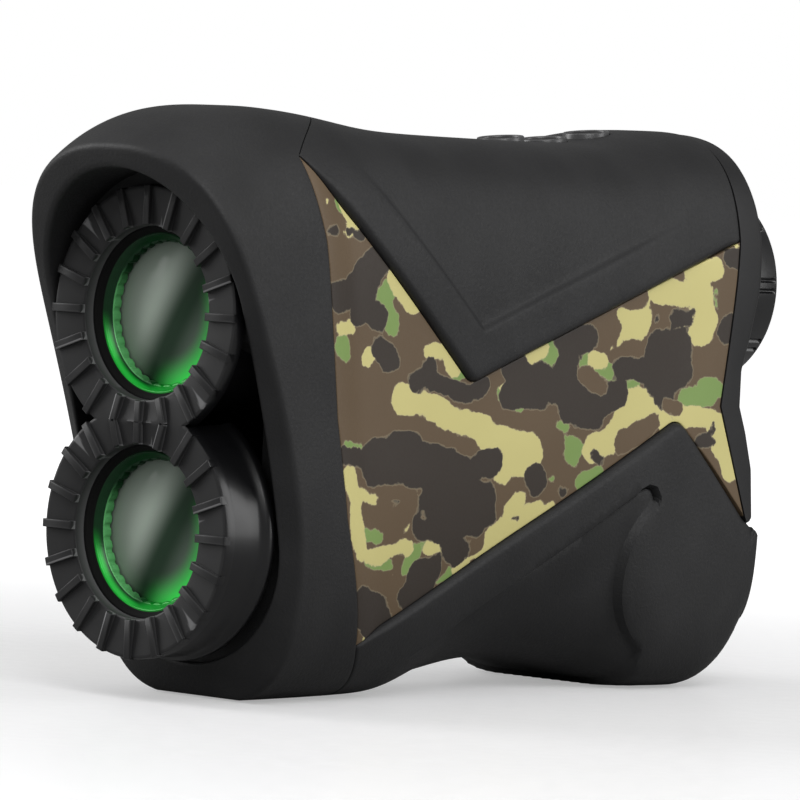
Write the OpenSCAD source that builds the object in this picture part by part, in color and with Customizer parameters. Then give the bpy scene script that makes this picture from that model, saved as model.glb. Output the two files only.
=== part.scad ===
// Hand-held laser rangefinder. Two lenses look along -Y, the eyepiece is at +Y
// and three buttons are on the roof. Millimetres, +Z up. The origin is under
// the middle of the case, on the surface that it stands on. Inside the modules
// Y is counted from the front face of the lens bezel, and place() moves it.

/* [Case] */
// Width across the side panels
body_w = 40; // [39.5:0.1:41]
// Height of the roof above the base
body_h = 76; // [75.5:0.1:77]
// Height of the case's widest line
mid_z = 45; // [44.5:0.1:45.5]
// Depth of the saddle in the roof
saddle_h = 2.9; // [2:0.1:3]
// Height of the arch under the case
arch_h = 2.8; // [2:0.1:3]
// Thickness of the rubber skin
skin_t = 1.8; // [1.7:0.05:1.9]
// Thickness of the inner casing
core_t = 2; // [1.8:0.1:2.2]
// How far the side panels lie below the rubber
panel_drop = 0.9; // [0.6:0.1:1.1]

/* [Lenses] */
// Height of the viewing lens
upper_z = 48.9; // [48.8:0.1:49]
// Height of the laser lens
lower_z = 21.2; // [21.1:0.1:21.3]
// Outer radius of each bezel ring
ring_r = 16.15; // [16:0.05:16.2]
// Radius of the hole in each bezel ring
hole_r = 11.05; // [10.9:0.05:11.1]
// Ribs round each bezel ring
rib_count = 20; // [16:2:24]

/* [Eyepiece] */
// Height of the eyepiece
eye_z = 54.7; // [54:0.1:55]
// Outer radius of the focusing ring
eye_r = 13.65; // [13.4:0.05:13.8]
// Rim of the eyecup behind the bezel face
eye_end_y = 110.7; // [110.5:0.1:112]

/* [Buttons] */
// Radius of a button
button_r = 2.5; // [2.3:0.1:2.5]
// Distance between buttons
button_pitch = 8.8; // [8.6:0.1:9]
// Middle button behind the bezel face
button_y = 75.6; // [75:0.1:76]
// Travel of a button
button_travel = 0.6; // [0.4:0.1:0.6]

/* [Battery] */
// Radius of the battery
cell_r = 7.8; // [7.6:0.1:7.8]
// Length of the battery
cell_l = 27; // [26:0.5:27]

/* [Hidden] */

rubber = "#2c2d2e";
gloss = "#101113";
brass = "#b08d57";
steel = "#9aa0a6";
board = "#1f5c38";
glass = "#4c6a5c";

// The case is a row of rounded sections. Each has its own half width, roof,
// floor and roundness, and a larger power gives squarer corners.
section_n = 32;
hood_y = 13;
hood_l = 20.6;
hood_drop = 6.2;
hood_in = 1.4;
foot_cut = 0.35;
case_y = [-8, -4, 0, 5, 9, 13, 18, 24, 32, 41, 50, 60, 70, 76, 80, 84, 88, 92, 97, 104];
rim_low_y = 13;
rim_slope = 0.43;
rim_bend_z = 22.8;
rim_bend = 8;
fine = 96;
gap = 0.05;

// A smooth step from 0 to 1 about a place
function step(y, at, soft) = 1 / (1 + exp((at - y) / soft));
function bump(y, at, soft) = exp(-pow((y - at) / soft, 2));
function nose(y) = pow(max(0, (hood_y - y) / hood_l), 2);
function roof_z(y) = body_h - saddle_h * step(y, 25, 5) * (1 - step(y, 84, 3.5)) - hood_drop * nose(y);
function floor_z(y) = -foot_cut + arch_h * bump(y, 60, 14);
function half_w(y) = body_w / 2 - 0.5 * bump(y, 50, 25) - hood_in * nose(y);
function roof_power(y) = 3.5 - 1.1 * nose(y);
function floor_power(y) = 3.6 - 0.7 * bump(y, 50, 18) + 5.4 * step(y, 79, 2);
function rounded(c, s, power) = sign(c) * pow(abs(c), 2 / power);

// One point of a section, at an angle from the +X side
function section_point(y, inset, a) = let (
    power = sin(a) > 0 ? roof_power(y) : floor_power(y),
    height = sin(a) > 0 ? roof_z(y) - mid_z : mid_z - floor_z(y))
    [rounded(cos(a), 0, power) * (half_w(y) - inset),
        mid_z + rounded(sin(a), 0, power) * (height - inset)];
function section(y, inset) =
    [for (i = [0:section_n - 1]) section_point(y, inset, (i + 0.5) * 360 / section_n)];

// Front edge of the hood: a straight slope that bends to upright near the base
function rim_y(z) = rim_low_y - rim_slope * rim_bend * ln(1 + exp((z - rim_bend_z) / rim_bend));

front_y = rim_y(body_h - hood_drop);
mid_y = (front_y + eye_end_y) / 2;
half_lot = 60;

// Side outlines, as [y, z]
hood_back_top = [9.2, 66];
hood_back_low = [22.6, 0];
corner_v = [39.3, 42.4];
v_back = [94.9, 60.9];
v_front_far = [-8.6, 80];
band_waist = [92.9, 38];
band_low = [98.2, 23.4];
peak = [83, 33.8];
peak_front = [21, 8.5];
case_end_y = 92.7;
rear_y = 96.3;
tongue_y = 24;
tongue_side_y = 6.2;
tongue_low_z = 66;

mouth_r = 16.8;
mouth_floor = 9.8;

// Battery and door
cell_y = 90.4;
cell_z = 12.9;
bay_half = 14.4;
bay_wall = 0.9;
door_half = 18;
door_face_y = 100.6;
door_t = 2.1;
door_top_z = 21.3;
pin_y = 101;
pin_z = 3.6;
pin_r = 0.75;
knuckle_r = 1.5;
knuckle_half = 7;

// Optics
tube_r = 12.6;
plate_front = 0.5;
plate_back = 2.4;
lens_y = 5;
mount_r = 11.3;
cell_bore_r = 10.1;
dome_z = 66.7;
board_z = 65;

module place() { translate([0, -mid_y, 0]) children(); }
// Turns an outline in X and Z into a solid between two places along Y
module along_y(y0, y1) { translate([0, y1, 0]) rotate([90, 0, 0]) linear_extrude(y1 - y0) children(); }
// Turns an outline in Y and Z into a solid across X
module across_x(x0, x1) { translate([x0, 0, 0]) rotate([90, 0, 90]) linear_extrude(x1 - x0) children(); }
module rod_y(r, y0, y1, x = 0, z = 0) { translate([x, 0, z]) along_y(y0, y1) circle(r, $fn = fine); }
module rod_x(r, x0, x1, y, z) { across_x(x0, x1) translate([y, z]) circle(r, $fn = fine); }
module box(x0, x1, y0, y1, z0, z1) { translate([x0, y0, z0]) cube([x1 - x0, y1 - y0, z1 - z0]); }
// Turns a profile of [radius, y] points round a lens axis
module turned(z, points) { translate([0, 0, z]) rotate([-90, 0, 0]) rotate_extrude($fn = fine) polygon(points); }

module loft(inset, places) {
    n = section_n;
    m = len(places);
    points = [for (y = places) for (p = section(y, inset)) [p[0], y, p[1]]];
    walls = [for (j = [0:m - 2]) for (i = [0:n - 1])
        let (a = j * n + i, b = j * n + (i + 1) % n)
        each [[a, b, b + n], [a, b + n, a + n]]];
    front = [for (i = [n - 1:-1:0]) i];
    back = [for (i = [0:n - 1]) (m - 1) * n + i];
    polyhedron(points, concat([front], walls, [back]), convexity = 6);
}
module shell(outer, inner, places) {
    difference() {
        intersection() {
            loft(outer, places);
            box(-30, 30, -20, 120, 0, 90);
        }
        loft(inner, [for (y = places) y == places[0] ? y - 1 : y == places[len(places) - 1] ? y + 1 : y]);
    }
}

function tongue(x) = tongue_y - (tongue_y - tongue_side_y) * pow(abs(x) / (body_w / 2), 2);
// The part of the roof behind the hood's tongue, shifted back by a small gap
module behind_tongue(shift) {
    translate([0, shift, tongue_low_z]) linear_extrude(20)
        polygon(concat([for (x = [-21:3:21]) [x, tongue(x)]], [[21, 120], [-21, 120]]));
}
module v_outline() { polygon([corner_v, v_back, [v_back[0], 80], v_front_far]); }
module peak_outline() {
    polygon([peak_front, peak - [2.2, 0.9], peak + [-0.8, 0.2], peak + [0.8, -0.6], band_low,
        [102, 19.5], [102, -2], [hood_back_low[0] + 0.4, -2]]);
}
module panel_outline() {
    polygon([hood_back_top + [0.1, -0.1], corner_v - [0, 0.1], v_back - [0.1, 0.1], band_waist - [0.1, 0],
        band_low - [0.1, 0], peak + [0.8, -0.5], peak + [-0.8, 0.3], peak_front + [0.1, 0.1]]);
}
module hood_outline() {
    polygon(concat([for (z = [-2:4:78]) [rim_y(z), z]],
        [[tongue_y, 78], [tongue_y, tongue_low_z], hood_back_top, hood_back_low]));
}

// The space behind the hood's front wall, which steps back below the upper lens
module hollow_outline(shift) {
    translate([shift, 0]) polygon([[5.2, 90], [5.2, 51], [12.8, 47], [12.8, -5], [130, -5], [130, 90]]);
}

module front_hood() {
    color(rubber) place() difference() {
        intersection() {
            loft(0, [for (y = case_y) if (y < 33) y]);
            across_x(-half_lot, half_lot) hood_outline();
            box(-30, 30, -20, 60, 0, 90);
        }
        behind_tongue(0);
        intersection() {
            loft(skin_t, [for (y = case_y) if (y < 42) y]);
            across_x(-half_lot, half_lot) hollow_outline(0);
        }
        rod_y(mouth_r, -20, plate_back, z = upper_z + 1.3);
        difference() {
            union() {
                rod_y(mouth_r, -20, mouth_floor, z = lower_z);
                box(-mouth_r, mouth_r, -20, mouth_floor, lower_z, 44.5);
            }
            rod_y(ring_r - 0.6, plate_back, 20, z = upper_z);
        }
        rod_y(tube_r + 0.2, -20, 20, z = upper_z);
        rod_y(tube_r + 0.5, -20, 20, z = lower_z);
    }
}
module rib_ring(z, skip) {
    for (i = [0:rib_count - 1])
        if (!(skip && i == 0))
            translate([0, 0, z]) rotate([0, -i * 360 / rib_count, 0])
                box(-0.5, 0.5, 0, plate_front + 0.2, hole_r + 0.05, ring_r + 0.1);
}
module lens_bezel() {
    color(rubber) place() difference() {
        union() {
            rod_y(ring_r, plate_front, plate_back, z = upper_z);
            rod_y(ring_r, plate_front, plate_back, z = lower_z);
            intersection() {
                rib_ring(upper_z, false);
                box(-30, 30, -1, 3, (upper_z + lower_z) / 2 - 1.4, 90);
            }
            intersection() {
                rib_ring(lower_z, true);
                box(-30, 30, -1, 3, 0, (upper_z + lower_z) / 2 + 1.4);
            }
        }
        rod_y(hole_r, -1, 5, z = upper_z);
        rod_y(hole_r, -1, 5, z = lower_z);
    }
}
module lower_barrel() {
    color(gloss) place() difference() {
        turned(lower_z, [[12.8, 2.45], [15.6, 2.45], [15.8, 3.5], [16, 6.4], [16.6, 8.1], [16.6, 8.7],
            [16.3, 9.2], [15, 9.75], [12.8, 9.75]]);
        rod_y(ring_r - 0.5, plate_back + gap, 20, z = upper_z);
    }
}

// Inner casing with its screw bosses. A side boss is [y, z, seat of its screw's head]
side_boss = [[30, 66.4, 11.3], [30, 6.8, 9.8], [71, 29, 16.3]];
rear_boss_xz = [[11.5, 68.6], [15, 41.5]];
head_t = 1.2;
module core_half(side) {
    x0 = side < 0 ? -30 : 0;
    difference() {
        union() {
            intersection() {
                shell(skin_t + gap, skin_t + core_t, [for (y = case_y) if (y > 4 && y < 93) y]);
                across_x(x0, x0 + 30) intersection() {
                    hollow_outline(0.1);
                    square([case_end_y, 90]);
                }
            }
            for (b = side_boss)
                rod_x(2.1, side < 0 ? -b[2] - 0.9 : 0, side < 0 ? 0 : b[2] + 0.9, b[0], b[1]);
            for (b = rear_boss_xz)
                rod_y(2.1, 82, case_end_y, side * b[0], b[1]);
        }
        for (b = side_boss) {
            rod_x(1.05, -b[2] + 3, 30, b[0], b[1]);
            rod_x(2.3, b[2], 30, b[0], b[1]);
        }
        for (b = rear_boss_xz)
            rod_y(1.05, 83.5, 95, side * b[0], b[1]);
        for (i = [-1:1]) translate([0, button_y + i * button_pitch, 0]) {
            translate([0, 0, 60]) cylinder(r = button_r + 0.35, h = 20, $fn = fine);
            translate([0, 0, button_roof(i) - skin_t]) cylinder(r = button_r + 0.8, h = 9, $fn = fine);
        }
        box(-bay_half - bay_wall - gap, bay_half + bay_wall + gap, 79, 95, 0, 24);
    }
}
module core_left() { color("#3a3a3c") place() core_half(-1); }
module core_right() { color("#3a3a3c") place() core_half(1); }

module side_panel(side) {
    intersection() {
        shell(panel_drop, skin_t, [for (y = case_y) if (y > 4) y]);
        across_x(side < 0 ? -30 : 5, side < 0 ? -5 : 30) panel_outline();
    }
}
module side_panel_left() { color("#8a8355") place() side_panel(-1); }
module side_panel_right() { color("#8a8355") place() side_panel(1); }

module top_grip() {
    color(rubber) place() difference() {
        intersection() {
            shell(0, skin_t, [for (y = case_y) if (y > -1 && y < 98) y]);
            across_x(-half_lot, half_lot) v_outline();
            union() {
                behind_tongue(0.1);
                box(-30, 30, 0, 120, 30, tongue_low_z);
            }
        }
        for (i = [-1:1])
            translate([0, button_y + i * button_pitch, 60]) cylinder(r = button_r + 0.75, h = 20, $fn = fine);
    }
}
// Rounds the lower rear corner of everything under the door
module rear_corner_outline() {
    polygon(concat([[130, -9], [130, 9]], [for (a = [0:-15:-90]) [91 + 9.5 * cos(a), 9.5 + 9.5 * sin(a)]]));
}
module bottom_grip() {
    color(rubber) place() difference() {
        intersection() {
            shell(0, skin_t, [for (y = case_y) if (y > 8) y]);
            across_x(-half_lot, half_lot) peak_outline();
            box(-30, 30, 0, door_face_y, -1, 60);
        }
        across_x(-30, 30) rear_corner_outline();
        box(-13, 13, 98.4, 110, -1, 12);
    }
}

module rear_band_outline() {
    polygon([[v_back[0] + 0.1, 80], [v_back[0] + 0.1, v_back[1]], band_waist, band_low,
        [99.4, 22.5], [door_face_y, 21.6], [100.3, 30], [97.4, 40], [rear_y, 45], [rear_y, 80]]);
}
module rear_plate_outline() {
    polygon([[case_end_y + gap, 80], [rear_y, 80], [rear_y, 45], [97.4, 40], [100.3, 30], [door_face_y, 21.6],
        [door_face_y, 5.4], [99, 3], [case_end_y + gap, 3]]);
}
module rear_frame() {
    color("#303133") place() difference() {
        union() {
            intersection() {
                along_y(90, 104) polygon(section(95, 0));
                across_x(-half_lot, half_lot) rear_band_outline();
            }
            intersection() {
                along_y(90, 104) polygon(section(95, skin_t + 0.15));
                across_x(-half_lot, half_lot) rear_plate_outline();
            }
            for (side = [-1, 1]) {
                rod_x(knuckle_r, side * 9.1 - 1.9, side * 9.1 + 1.9, pin_y, pin_z);
                box(side * 9.1 - 1.9, side * 9.1 + 1.9, 98.5, pin_y, pin_z - 0.3, pin_z + knuckle_r);
            }
        }
        rod_x(pin_r + 0.02, -20, 20, pin_y, pin_z);
        rod_x(knuckle_r + 0.2, -knuckle_half - 0.1, knuckle_half + 0.1, pin_y, pin_z);
        rod_y(mount_r + 0.05, 80, 110, z = eye_z);
        box(-bay_half - bay_wall - gap, bay_half + bay_wall + gap, 90, 98.2, 3.9, 24);
        box(-bay_half, bay_half, 90, 110, cell_z - cell_r - 0.1, cell_z + cell_r + 0.1);
        box(-3.3, 3.3, 98.1, 110, 20, 21.55);
        for (side = [-1, 1]) for (b = rear_boss_xz) {
            rod_y(1.1, 90, 110, side * b[0], b[1]);
            rod_y(2.1, rear_y - 0.9, 110, side * b[0], b[1]);
        }
    }
}

// A lens tube: a wide mouth for the retainer, a seat for the lens, a long barrel
module lens_tube(z, end_y, stop_r) {
    turned(z, [[hole_r, plate_back + gap], [tube_r, plate_back + gap], [tube_r, 30], [11, 32], [11, end_y],
        [stop_r, end_y], [9.2, 12], [9.2, 10.8], [10.15, 10.8], [10.15, lens_y + 0.6], [hole_r, lens_y + 0.6]]);
}
module retainer(z) {
    turned(z, [[11, 2.5], [11, lens_y + 0.5], [9.15, lens_y + 0.5], [9.1, 4.5], [10.7, 2.5]]);
}
// A lens between two vertices, with the radius of each of its curved faces
function sag(r, curve) = curve - sqrt(curve * curve - r * r);
module lens(z, r, y0, y1, front_curve, back_curve) {
    steps = 8;
    turned(z, concat([for (i = [0:steps]) [r * i / steps, y0 + sag(r * i / steps, front_curve)]],
        [for (i = [steps:-1:0]) [r * i / steps, y1 - sag(r * i / steps, back_curve)]]));
}
module seal(z) { turned(z, [[10.2, lens_y + 0.65], [11, lens_y + 0.65], [11, lens_y + 1.4], [10.2, lens_y + 1.4]]); }
module objective_tube() { color(gloss) place() grooved_tube(upper_z, 42); }
module laser_tube() { color(gloss) place() grooved_tube(lower_z, 36); }
// The tube with the groove that holds the seal ahead of the lens
module grooved_tube(z, end_y) {
    difference() {
        lens_tube(z, end_y, 8);
        turned(z, [[10, lens_y + 0.6], [11.05, lens_y + 0.6], [11.05, lens_y + 1.45], [10, lens_y + 1.45]]);
    }
}
module objective_retainer() { color("#16301f") place() retainer(upper_z); }
module laser_retainer() { color("#16301f") place() retainer(lower_z); }
module objective_lens() { color(glass) place() lens(upper_z, 10.05, 4.8, 10.4, 48, 90); }
module laser_lens() { color(glass) place() lens(lower_z, 10.05, 4.8, 10.4, 48, 90); }
module objective_seal() { color("black") place() seal(upper_z); }
module laser_seal() { color("black") place() seal(lower_z); }
module laser_diode() {
    color(brass) place() {
        difference() {
            rod_y(7.9, 31, 35.9, z = lower_z);
            rod_y(4.6, 30, 34.2, z = lower_z);
        }
        rod_y(4.5, 32.2, 34.2, z = lower_z);
        for (a = [0:120:240])
            translate([2 * cos(a), 0, lower_z + 2 * sin(a)]) rod_y(0.25, 35.9, 39);
    }
}
module prism_holder() {
    color("#26282a") place() difference() {
        box(-12, 12, 46, 73, 40.6, board_z - 1 - gap);
        box(-10.6, 10.6, 47.4, 71.6, 42, 62.2);
        rod_y(8.4, 40, 50, z = upper_z);
        rod_y(8, 70, 76, z = eye_z - 0.6);
    }
}
module erecting_prisms() {
    color("#9fc4b4") place() {
        across_x(-9, 9) polygon([[48, 42.4], [48, 57], [60, 57], [58, 51], [51, 42.4]]);
        across_x(-9, 9) polygon([[60.6, 56.8], [58.7, 51], [66, 45], [71, 45], [71, 61.8], [62.4, 61.8]]);
    }
}
module display_panel() {
    color("#22342b") place() {
        difference() {
            box(-9, 9, 74, 76.4, 46.5, 62.5);
            box(-6.6, 6.6, 73, 77, 49, 60);
        }
        box(-6.6, 6.6, 74.6, 75.8, 49, 60);
    }
}
module receiver_diode() {
    color(brass) place() {
        box(-6.5, 6.5, 47.5, 59, 67.2, 68.2);
        translate([0, 53.5, 64.1]) cylinder(r = 4.4, h = 3.1, $fn = fine);
    }
}
module main_board() {
    color(board) place() {
        box(-12.4, 12.4, 42.3, 78.6, 36.4, 37.8);
        box(-6, 4, 46, 56, 37.8, 39.4);
        box(-9, -3, 60, 68, 34.9, 36.4);
        box(2, 9, 62, 74, 34.4, 36.4);
        box(-8, 8, 42.3, 44.7, 32, 36.4);
    }
}
module button_board() {
    color(board) place() {
        box(-8.5, 8.5, 61.5, 87.5, board_z - 1, board_z);
        for (i = [-1:1])
            translate([0, button_y + i * button_pitch, board_z]) cylinder(r = 2.4, h = dome_z - board_z, $fn = fine);
    }
}
function button_roof(i) = roof_z(button_y + i * button_pitch);
module button_bezels() {
    color(gloss) place() for (i = [-1:1])
        translate([0, button_y + i * button_pitch, button_roof(i) - skin_t + 0.1]) difference() {
            cylinder(r = button_r + 0.7, h = skin_t + 0.3, $fn = fine);
            translate([0, 0, -1]) cylinder(r = button_r + 0.25, h = 9, $fn = fine);
        }
}
// A button with a cap, a flange that holds it in and a foot over its switch
module button(i) {
    top = button_roof(i) + 0.35;
    flange_top = button_roof(i) - skin_t - core_t - (i > 0 ? 1 : 0.35);
    foot = dome_z + button_travel + 0.1;
    translate([0, button_y + i * button_pitch, 0]) {
        translate([0, 0, flange_top - 0.1]) cylinder(r = button_r, h = top - flange_top - 0.2, $fn = fine);
        translate([0, 0, top - 0.4]) difference() {
            cylinder(r = button_r, h = 0.4, $fn = fine);
            translate([0, 0, 0.1]) cylinder(r = button_r - 0.5, h = 1, $fn = fine);
        }
        translate([0, 0, foot]) cylinder(r = 1.3, h = flange_top - foot, $fn = fine);
        translate([0, 0, flange_top - 0.8]) cylinder(r = button_r + 0.9, h = 0.8, $fn = fine);
    }
}
module button_front() { color(rubber) place() button(-1); }
module button_middle() { color(rubber) place() button(0); }
module button_rear() { color(rubber) place() button(1); }

module eyepiece_mount() {
    color("#1b1c1e") place() turned(eye_z, [[cell_bore_r, 88], [mount_r, 88], [mount_r, 92],
        [12.9, 92], [12.9, case_end_y], [mount_r, case_end_y], [mount_r, 104.6], [cell_bore_r, 104.6]]);
}
module focusing_ring() {
    color(gloss) place() difference() {
        turned(eye_z, [[mount_r + gap, 98.2], [eye_r - 0.5, 98.2], [eye_r, 98.8], [eye_r, 107.6], [eye_r - 0.6, 108.6],
            [11, 108.6], [9.4, 107.2], [9.4, 106.9], [mount_r + gap, 106.9]]);
        for (a = [16.5:36:340.5]) for (b = [-3, 3])
            translate([0, 0, eye_z]) rotate([0, a + b, 0]) box(-0.25, 0.25, 97, 107, eye_r - 0.35, eye_r + 1);
    }
}
module eyecup() {
    color(rubber) place() turned(eye_z, [[11, 108.65], [12.95, 108.65], [13.1, 109.6], [12.6, 110.45],
        [11.8, eye_end_y], [10.9, 110.5], [10.6, 109.6], [10.9, 108.65]]);
}
module eyepiece_cell() {
    color("#1b1c1e") place() turned(eye_z, [[cell_bore_r - gap, 89.2], [cell_bore_r - gap, 104.4], [8.6, 104.4],
        [8.6, 103.6], [9.2, 103.6], [9.2, 98], [8.4, 98], [8.4, 94.2], [9.2, 94.2], [9.2, 89.2]]);
}
module eyepiece_lenses() {
    color(glass) place() {
        lens(eye_z, 9.15, 98.6, 103.5, 40, 22);
        lens(eye_z, 9.15, 89.7, 94.1, 60, 40);
    }
}

module battery_bay() {
    color("#3a3a3c") place() difference() {
        union() {
            rod_x(cell_r + bay_wall + 0.1, -bay_half - bay_wall, bay_half + bay_wall, cell_y, cell_z);
            box(-bay_half - bay_wall, bay_half + bay_wall, cell_y, 98.15, cell_z - cell_r - 1, cell_z + cell_r + 1);
        }
        rod_x(cell_r + 0.1, -bay_half, bay_half, cell_y, cell_z);
        box(-bay_half, bay_half, cell_y, 120, cell_z - cell_r - 0.1, cell_z + cell_r + 0.1);
        box(-20, 20, 98.15, 110, 0, 30);
    }
}
module battery_cell() {
    color("#6f747a") place() {
        rod_x(cell_r, -cell_l / 2, cell_l / 2 - 0.6, cell_y, cell_z);
        rod_x(3, cell_l / 2 - 0.7, cell_l / 2, cell_y, cell_z);
    }
}
module battery_contacts() {
    color(steel) place() {
        box(cell_l / 2, cell_l / 2 + 0.4, cell_y - 4, cell_y + 4, cell_z - 4, cell_z + 4);
        box(-bay_half, 0.4 - bay_half, cell_y - 4, cell_y + 4, cell_z - 4, cell_z + 4);
        rod_x(2.6, 0.4 - bay_half, -cell_l / 2, cell_y, cell_z);
        rod_x(1.5, cell_l / 2 + 0.4, bay_half, cell_y, cell_z);
    }
}
module battery_door() {
    color("#2a2b2d") place() difference() {
        union() {
            box(-door_half, door_half, door_face_y + 0.3, door_face_y + 0.3 + door_t, pin_z + knuckle_r + 0.2, door_top_z);
            rod_x(knuckle_r, -knuckle_half, knuckle_half, pin_y, pin_z);
            box(-knuckle_half, knuckle_half, pin_y, pin_y + knuckle_r, pin_z, pin_z + 3);
            box(-3, 3, 98.6, door_face_y + 0.4, 20.2, 21);
        }
        rod_x(pin_r + 0.05, -20, 20, pin_y, pin_z);
        // rounded upper and lower corners of the outer face
        for (side = [-1, 1])
            translate([side * door_half, door_face_y + 0.3 + door_t, 0]) rotate([0, 0, 45])
                translate([-1.2, -1.2, -1]) cube([2.4, 2.4, 40]);
        translate([0, door_face_y + 0.3 + door_t, door_top_z]) rotate([45, 0, 0])
            translate([-30, -0.7, -0.7]) cube([60, 1.4, 1.4]);
    }
}
module door_seal() {
    color("black") place() difference() {
        box(-15.6, 15.6, door_face_y + gap, door_face_y + 0.3, 5.6, 19.8);
        box(-14.8, 14.8, 90, 110, 6.3, 19.2);
    }
}
module hinge_pin() { color(steel) place() rod_x(pin_r, -11.2, 11.2, pin_y, pin_z); }
module case_screws() {
    color(steel) place() for (b = side_boss) {
        rod_x(1, -b[2] + 4, b[2], b[0], b[1]);
        difference() {
            rod_x(2, b[2], b[2] + head_t, b[0], b[1]);
            box(b[2] + 0.5, 30, b[0] - 0.3, b[0] + 0.3, b[1] - 1.3, b[1] + 1.3);
            box(b[2] + 0.5, 30, b[0] - 1.3, b[0] + 1.3, b[1] - 0.3, b[1] + 0.3);
        }
    }
}
module rear_screws() {
    color(steel) place() for (side = [-1, 1]) for (b = rear_boss_xz) {
        rod_y(1, 84, rear_y - 0.9, side * b[0], b[1]);
        difference() {
            rod_y(1.9, rear_y - 0.9, rear_y + 0.1, side * b[0], b[1]);
            translate([side * b[0], 0, b[1]]) box(-0.3, 0.3, rear_y - 0.5, 99, -1.3, 1.3);
            translate([side * b[0], 0, b[1]]) box(-1.3, 1.3, rear_y - 0.5, 99, -0.3, 0.3);
        }
    }
}

front_hood();
lens_bezel();
lower_barrel();
core_left();
core_right();
side_panel_left();
side_panel_right();
top_grip();
bottom_grip();
rear_frame();
objective_tube();
objective_retainer();
objective_lens();
objective_seal();
laser_tube();
laser_retainer();
laser_lens();
laser_seal();
laser_diode();
prism_holder();
erecting_prisms();
display_panel();
receiver_diode();
main_board();
button_board();
button_bezels();
button_front();
button_middle();
button_rear();
eyepiece_mount();
focusing_ring();
eyecup();
eyepiece_cell();
eyepiece_lenses();
battery_bay();
battery_cell();
battery_contacts();
battery_door();
door_seal();
hinge_pin();
case_screws();
rear_screws();
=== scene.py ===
"""Looks of a hand-held laser rangefinder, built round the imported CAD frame."""

import math

import bmesh
import bpy
import numpy as np
from mathutils import Matrix, Vector
from mathutils.geometry import delaunay_2d_cdt

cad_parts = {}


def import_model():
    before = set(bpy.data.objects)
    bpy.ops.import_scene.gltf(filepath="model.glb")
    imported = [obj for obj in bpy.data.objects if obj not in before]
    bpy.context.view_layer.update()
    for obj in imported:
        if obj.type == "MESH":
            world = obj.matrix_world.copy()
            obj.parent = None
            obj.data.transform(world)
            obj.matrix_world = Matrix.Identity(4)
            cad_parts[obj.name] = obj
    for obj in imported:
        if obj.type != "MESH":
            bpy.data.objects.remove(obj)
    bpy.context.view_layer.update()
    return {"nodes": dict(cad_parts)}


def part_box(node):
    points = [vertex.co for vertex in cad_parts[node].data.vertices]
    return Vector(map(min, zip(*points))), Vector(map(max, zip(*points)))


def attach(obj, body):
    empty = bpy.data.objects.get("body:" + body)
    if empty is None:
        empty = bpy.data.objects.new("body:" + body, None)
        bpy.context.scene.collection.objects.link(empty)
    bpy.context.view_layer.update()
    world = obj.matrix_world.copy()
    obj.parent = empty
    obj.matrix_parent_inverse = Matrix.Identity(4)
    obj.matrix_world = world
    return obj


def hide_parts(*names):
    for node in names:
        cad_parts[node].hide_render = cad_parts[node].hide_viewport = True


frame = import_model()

MM = 0.001

# ---------------------------------------------------------------- the case's shape, in millimetres
# Y is counted from the front of the bezel's ribs, X from the middle, Z from the base.
BEZEL_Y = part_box("lens_bezel")[0][1]


def centre(node):
    """The middle of a CAD node's box, in the units that this script draws in."""
    low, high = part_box(node)
    x, y, z = [(a + b) / 2 for a, b in zip(low, high)]
    return x / MM, (y - BEZEL_Y) / MM, z / MM


UPPER_Z, LOWER_Z, EYE_Z = [centre(node)[2] for node in ("objective_tube", "laser_tube", "focusing_ring")]
BUTTONS = [(f"{which}_button", f"button_{which}") for which in ("front", "middle", "rear")]
BUTTON_Y = [centre(node)[1] for _, node in BUTTONS]
# the buttons rise by BUTTON_LEAN for each millimetre towards the back
BUTTON_HOLE, BUTTON_LEAN = 3.27, 0.12
BODY_W, BODY_H, MID_Z = 39.9, 75.79, 45.0
# ahead of HOOD_Y the hood draws in, by HOOD_DROP at the roof and HOOD_IN at each side after HOOD_L
HOOD_Y, HOOD_L, HOOD_DROP, HOOD_IN = 13.0, 20.6, 6.2, 1.4
ROOF_DIP, ARCH = 2.6, 2.8
HEEL_R, HEEL_Y = 9.5, 91.6
# the hood's front edge is RIM_Y upright below RIM_Z, then leans forward by RIM_SLOPE
RIM_Y, RIM_Z, RIM_SLOPE, RIM_BEND = 13, 22.8, 0.43, 8
SKIN, SEAM = 1.8, 0.12
PANEL_DROP, PANEL_FLUSH = 0.9, 0.12
RIBS, RING_R, HOLE_R = 20, 16.15, 11.05
MOUTH_R, MOUTH_TOP, RECESS_R = 16.8, 50.2, 12.9
EYE_BORE, SCREW_HOLE = 11.36, 2.1
HINGE, KNUCKLE_X, KNUCKLE_HALF = (101, 3.6), 9.1, 1.9
FRAME_LOW = 22.3
# middle and half axes of the round lobe in the lower grip
LOBE_Y, LOBE_Z, LOBE_LONG, LOBE_HIGH = 89, 15.4, 14, 12.6

CORNER_V = (42.2, 41.2)
V_BACK = (95.4, 61.0)
HOOD_LINE = [(29.5, 0.0), (25.6, 7.3), (19.2, 23.9), (16.1, 36.6), (14.2, 50.0), (13.0, 59.0), (10.2, 69.6)]
HOOD_BACK_TOP, PEAK_FRONT = HOOD_LINE[-1], HOOD_LINE[1]
BAND_MID = (93.3, 46.5)
BAND_WAIST = (92.1, 38.6)
BAND_LOW = (98.4, 23.5)
PEAK = (84.0, 36.9)
TONGUE_Y = 24.0
BOTTOM_END, CHEEK = 100.4, 1.8


def step(y, at, soft):
    """Rises from 0 to 1 around a place."""
    return 1 / (1 + np.exp((at - y) / soft))


def bump(y, at, soft):
    """1 at a place, falling to 0 on both sides."""
    return np.exp(-((y - at) / soft) ** 2)


def nose(y):
    """How far the hood has drawn in, from 0 at its widest."""
    return np.clip((HOOD_Y - y) / HOOD_L, 0, None) ** 2


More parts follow.
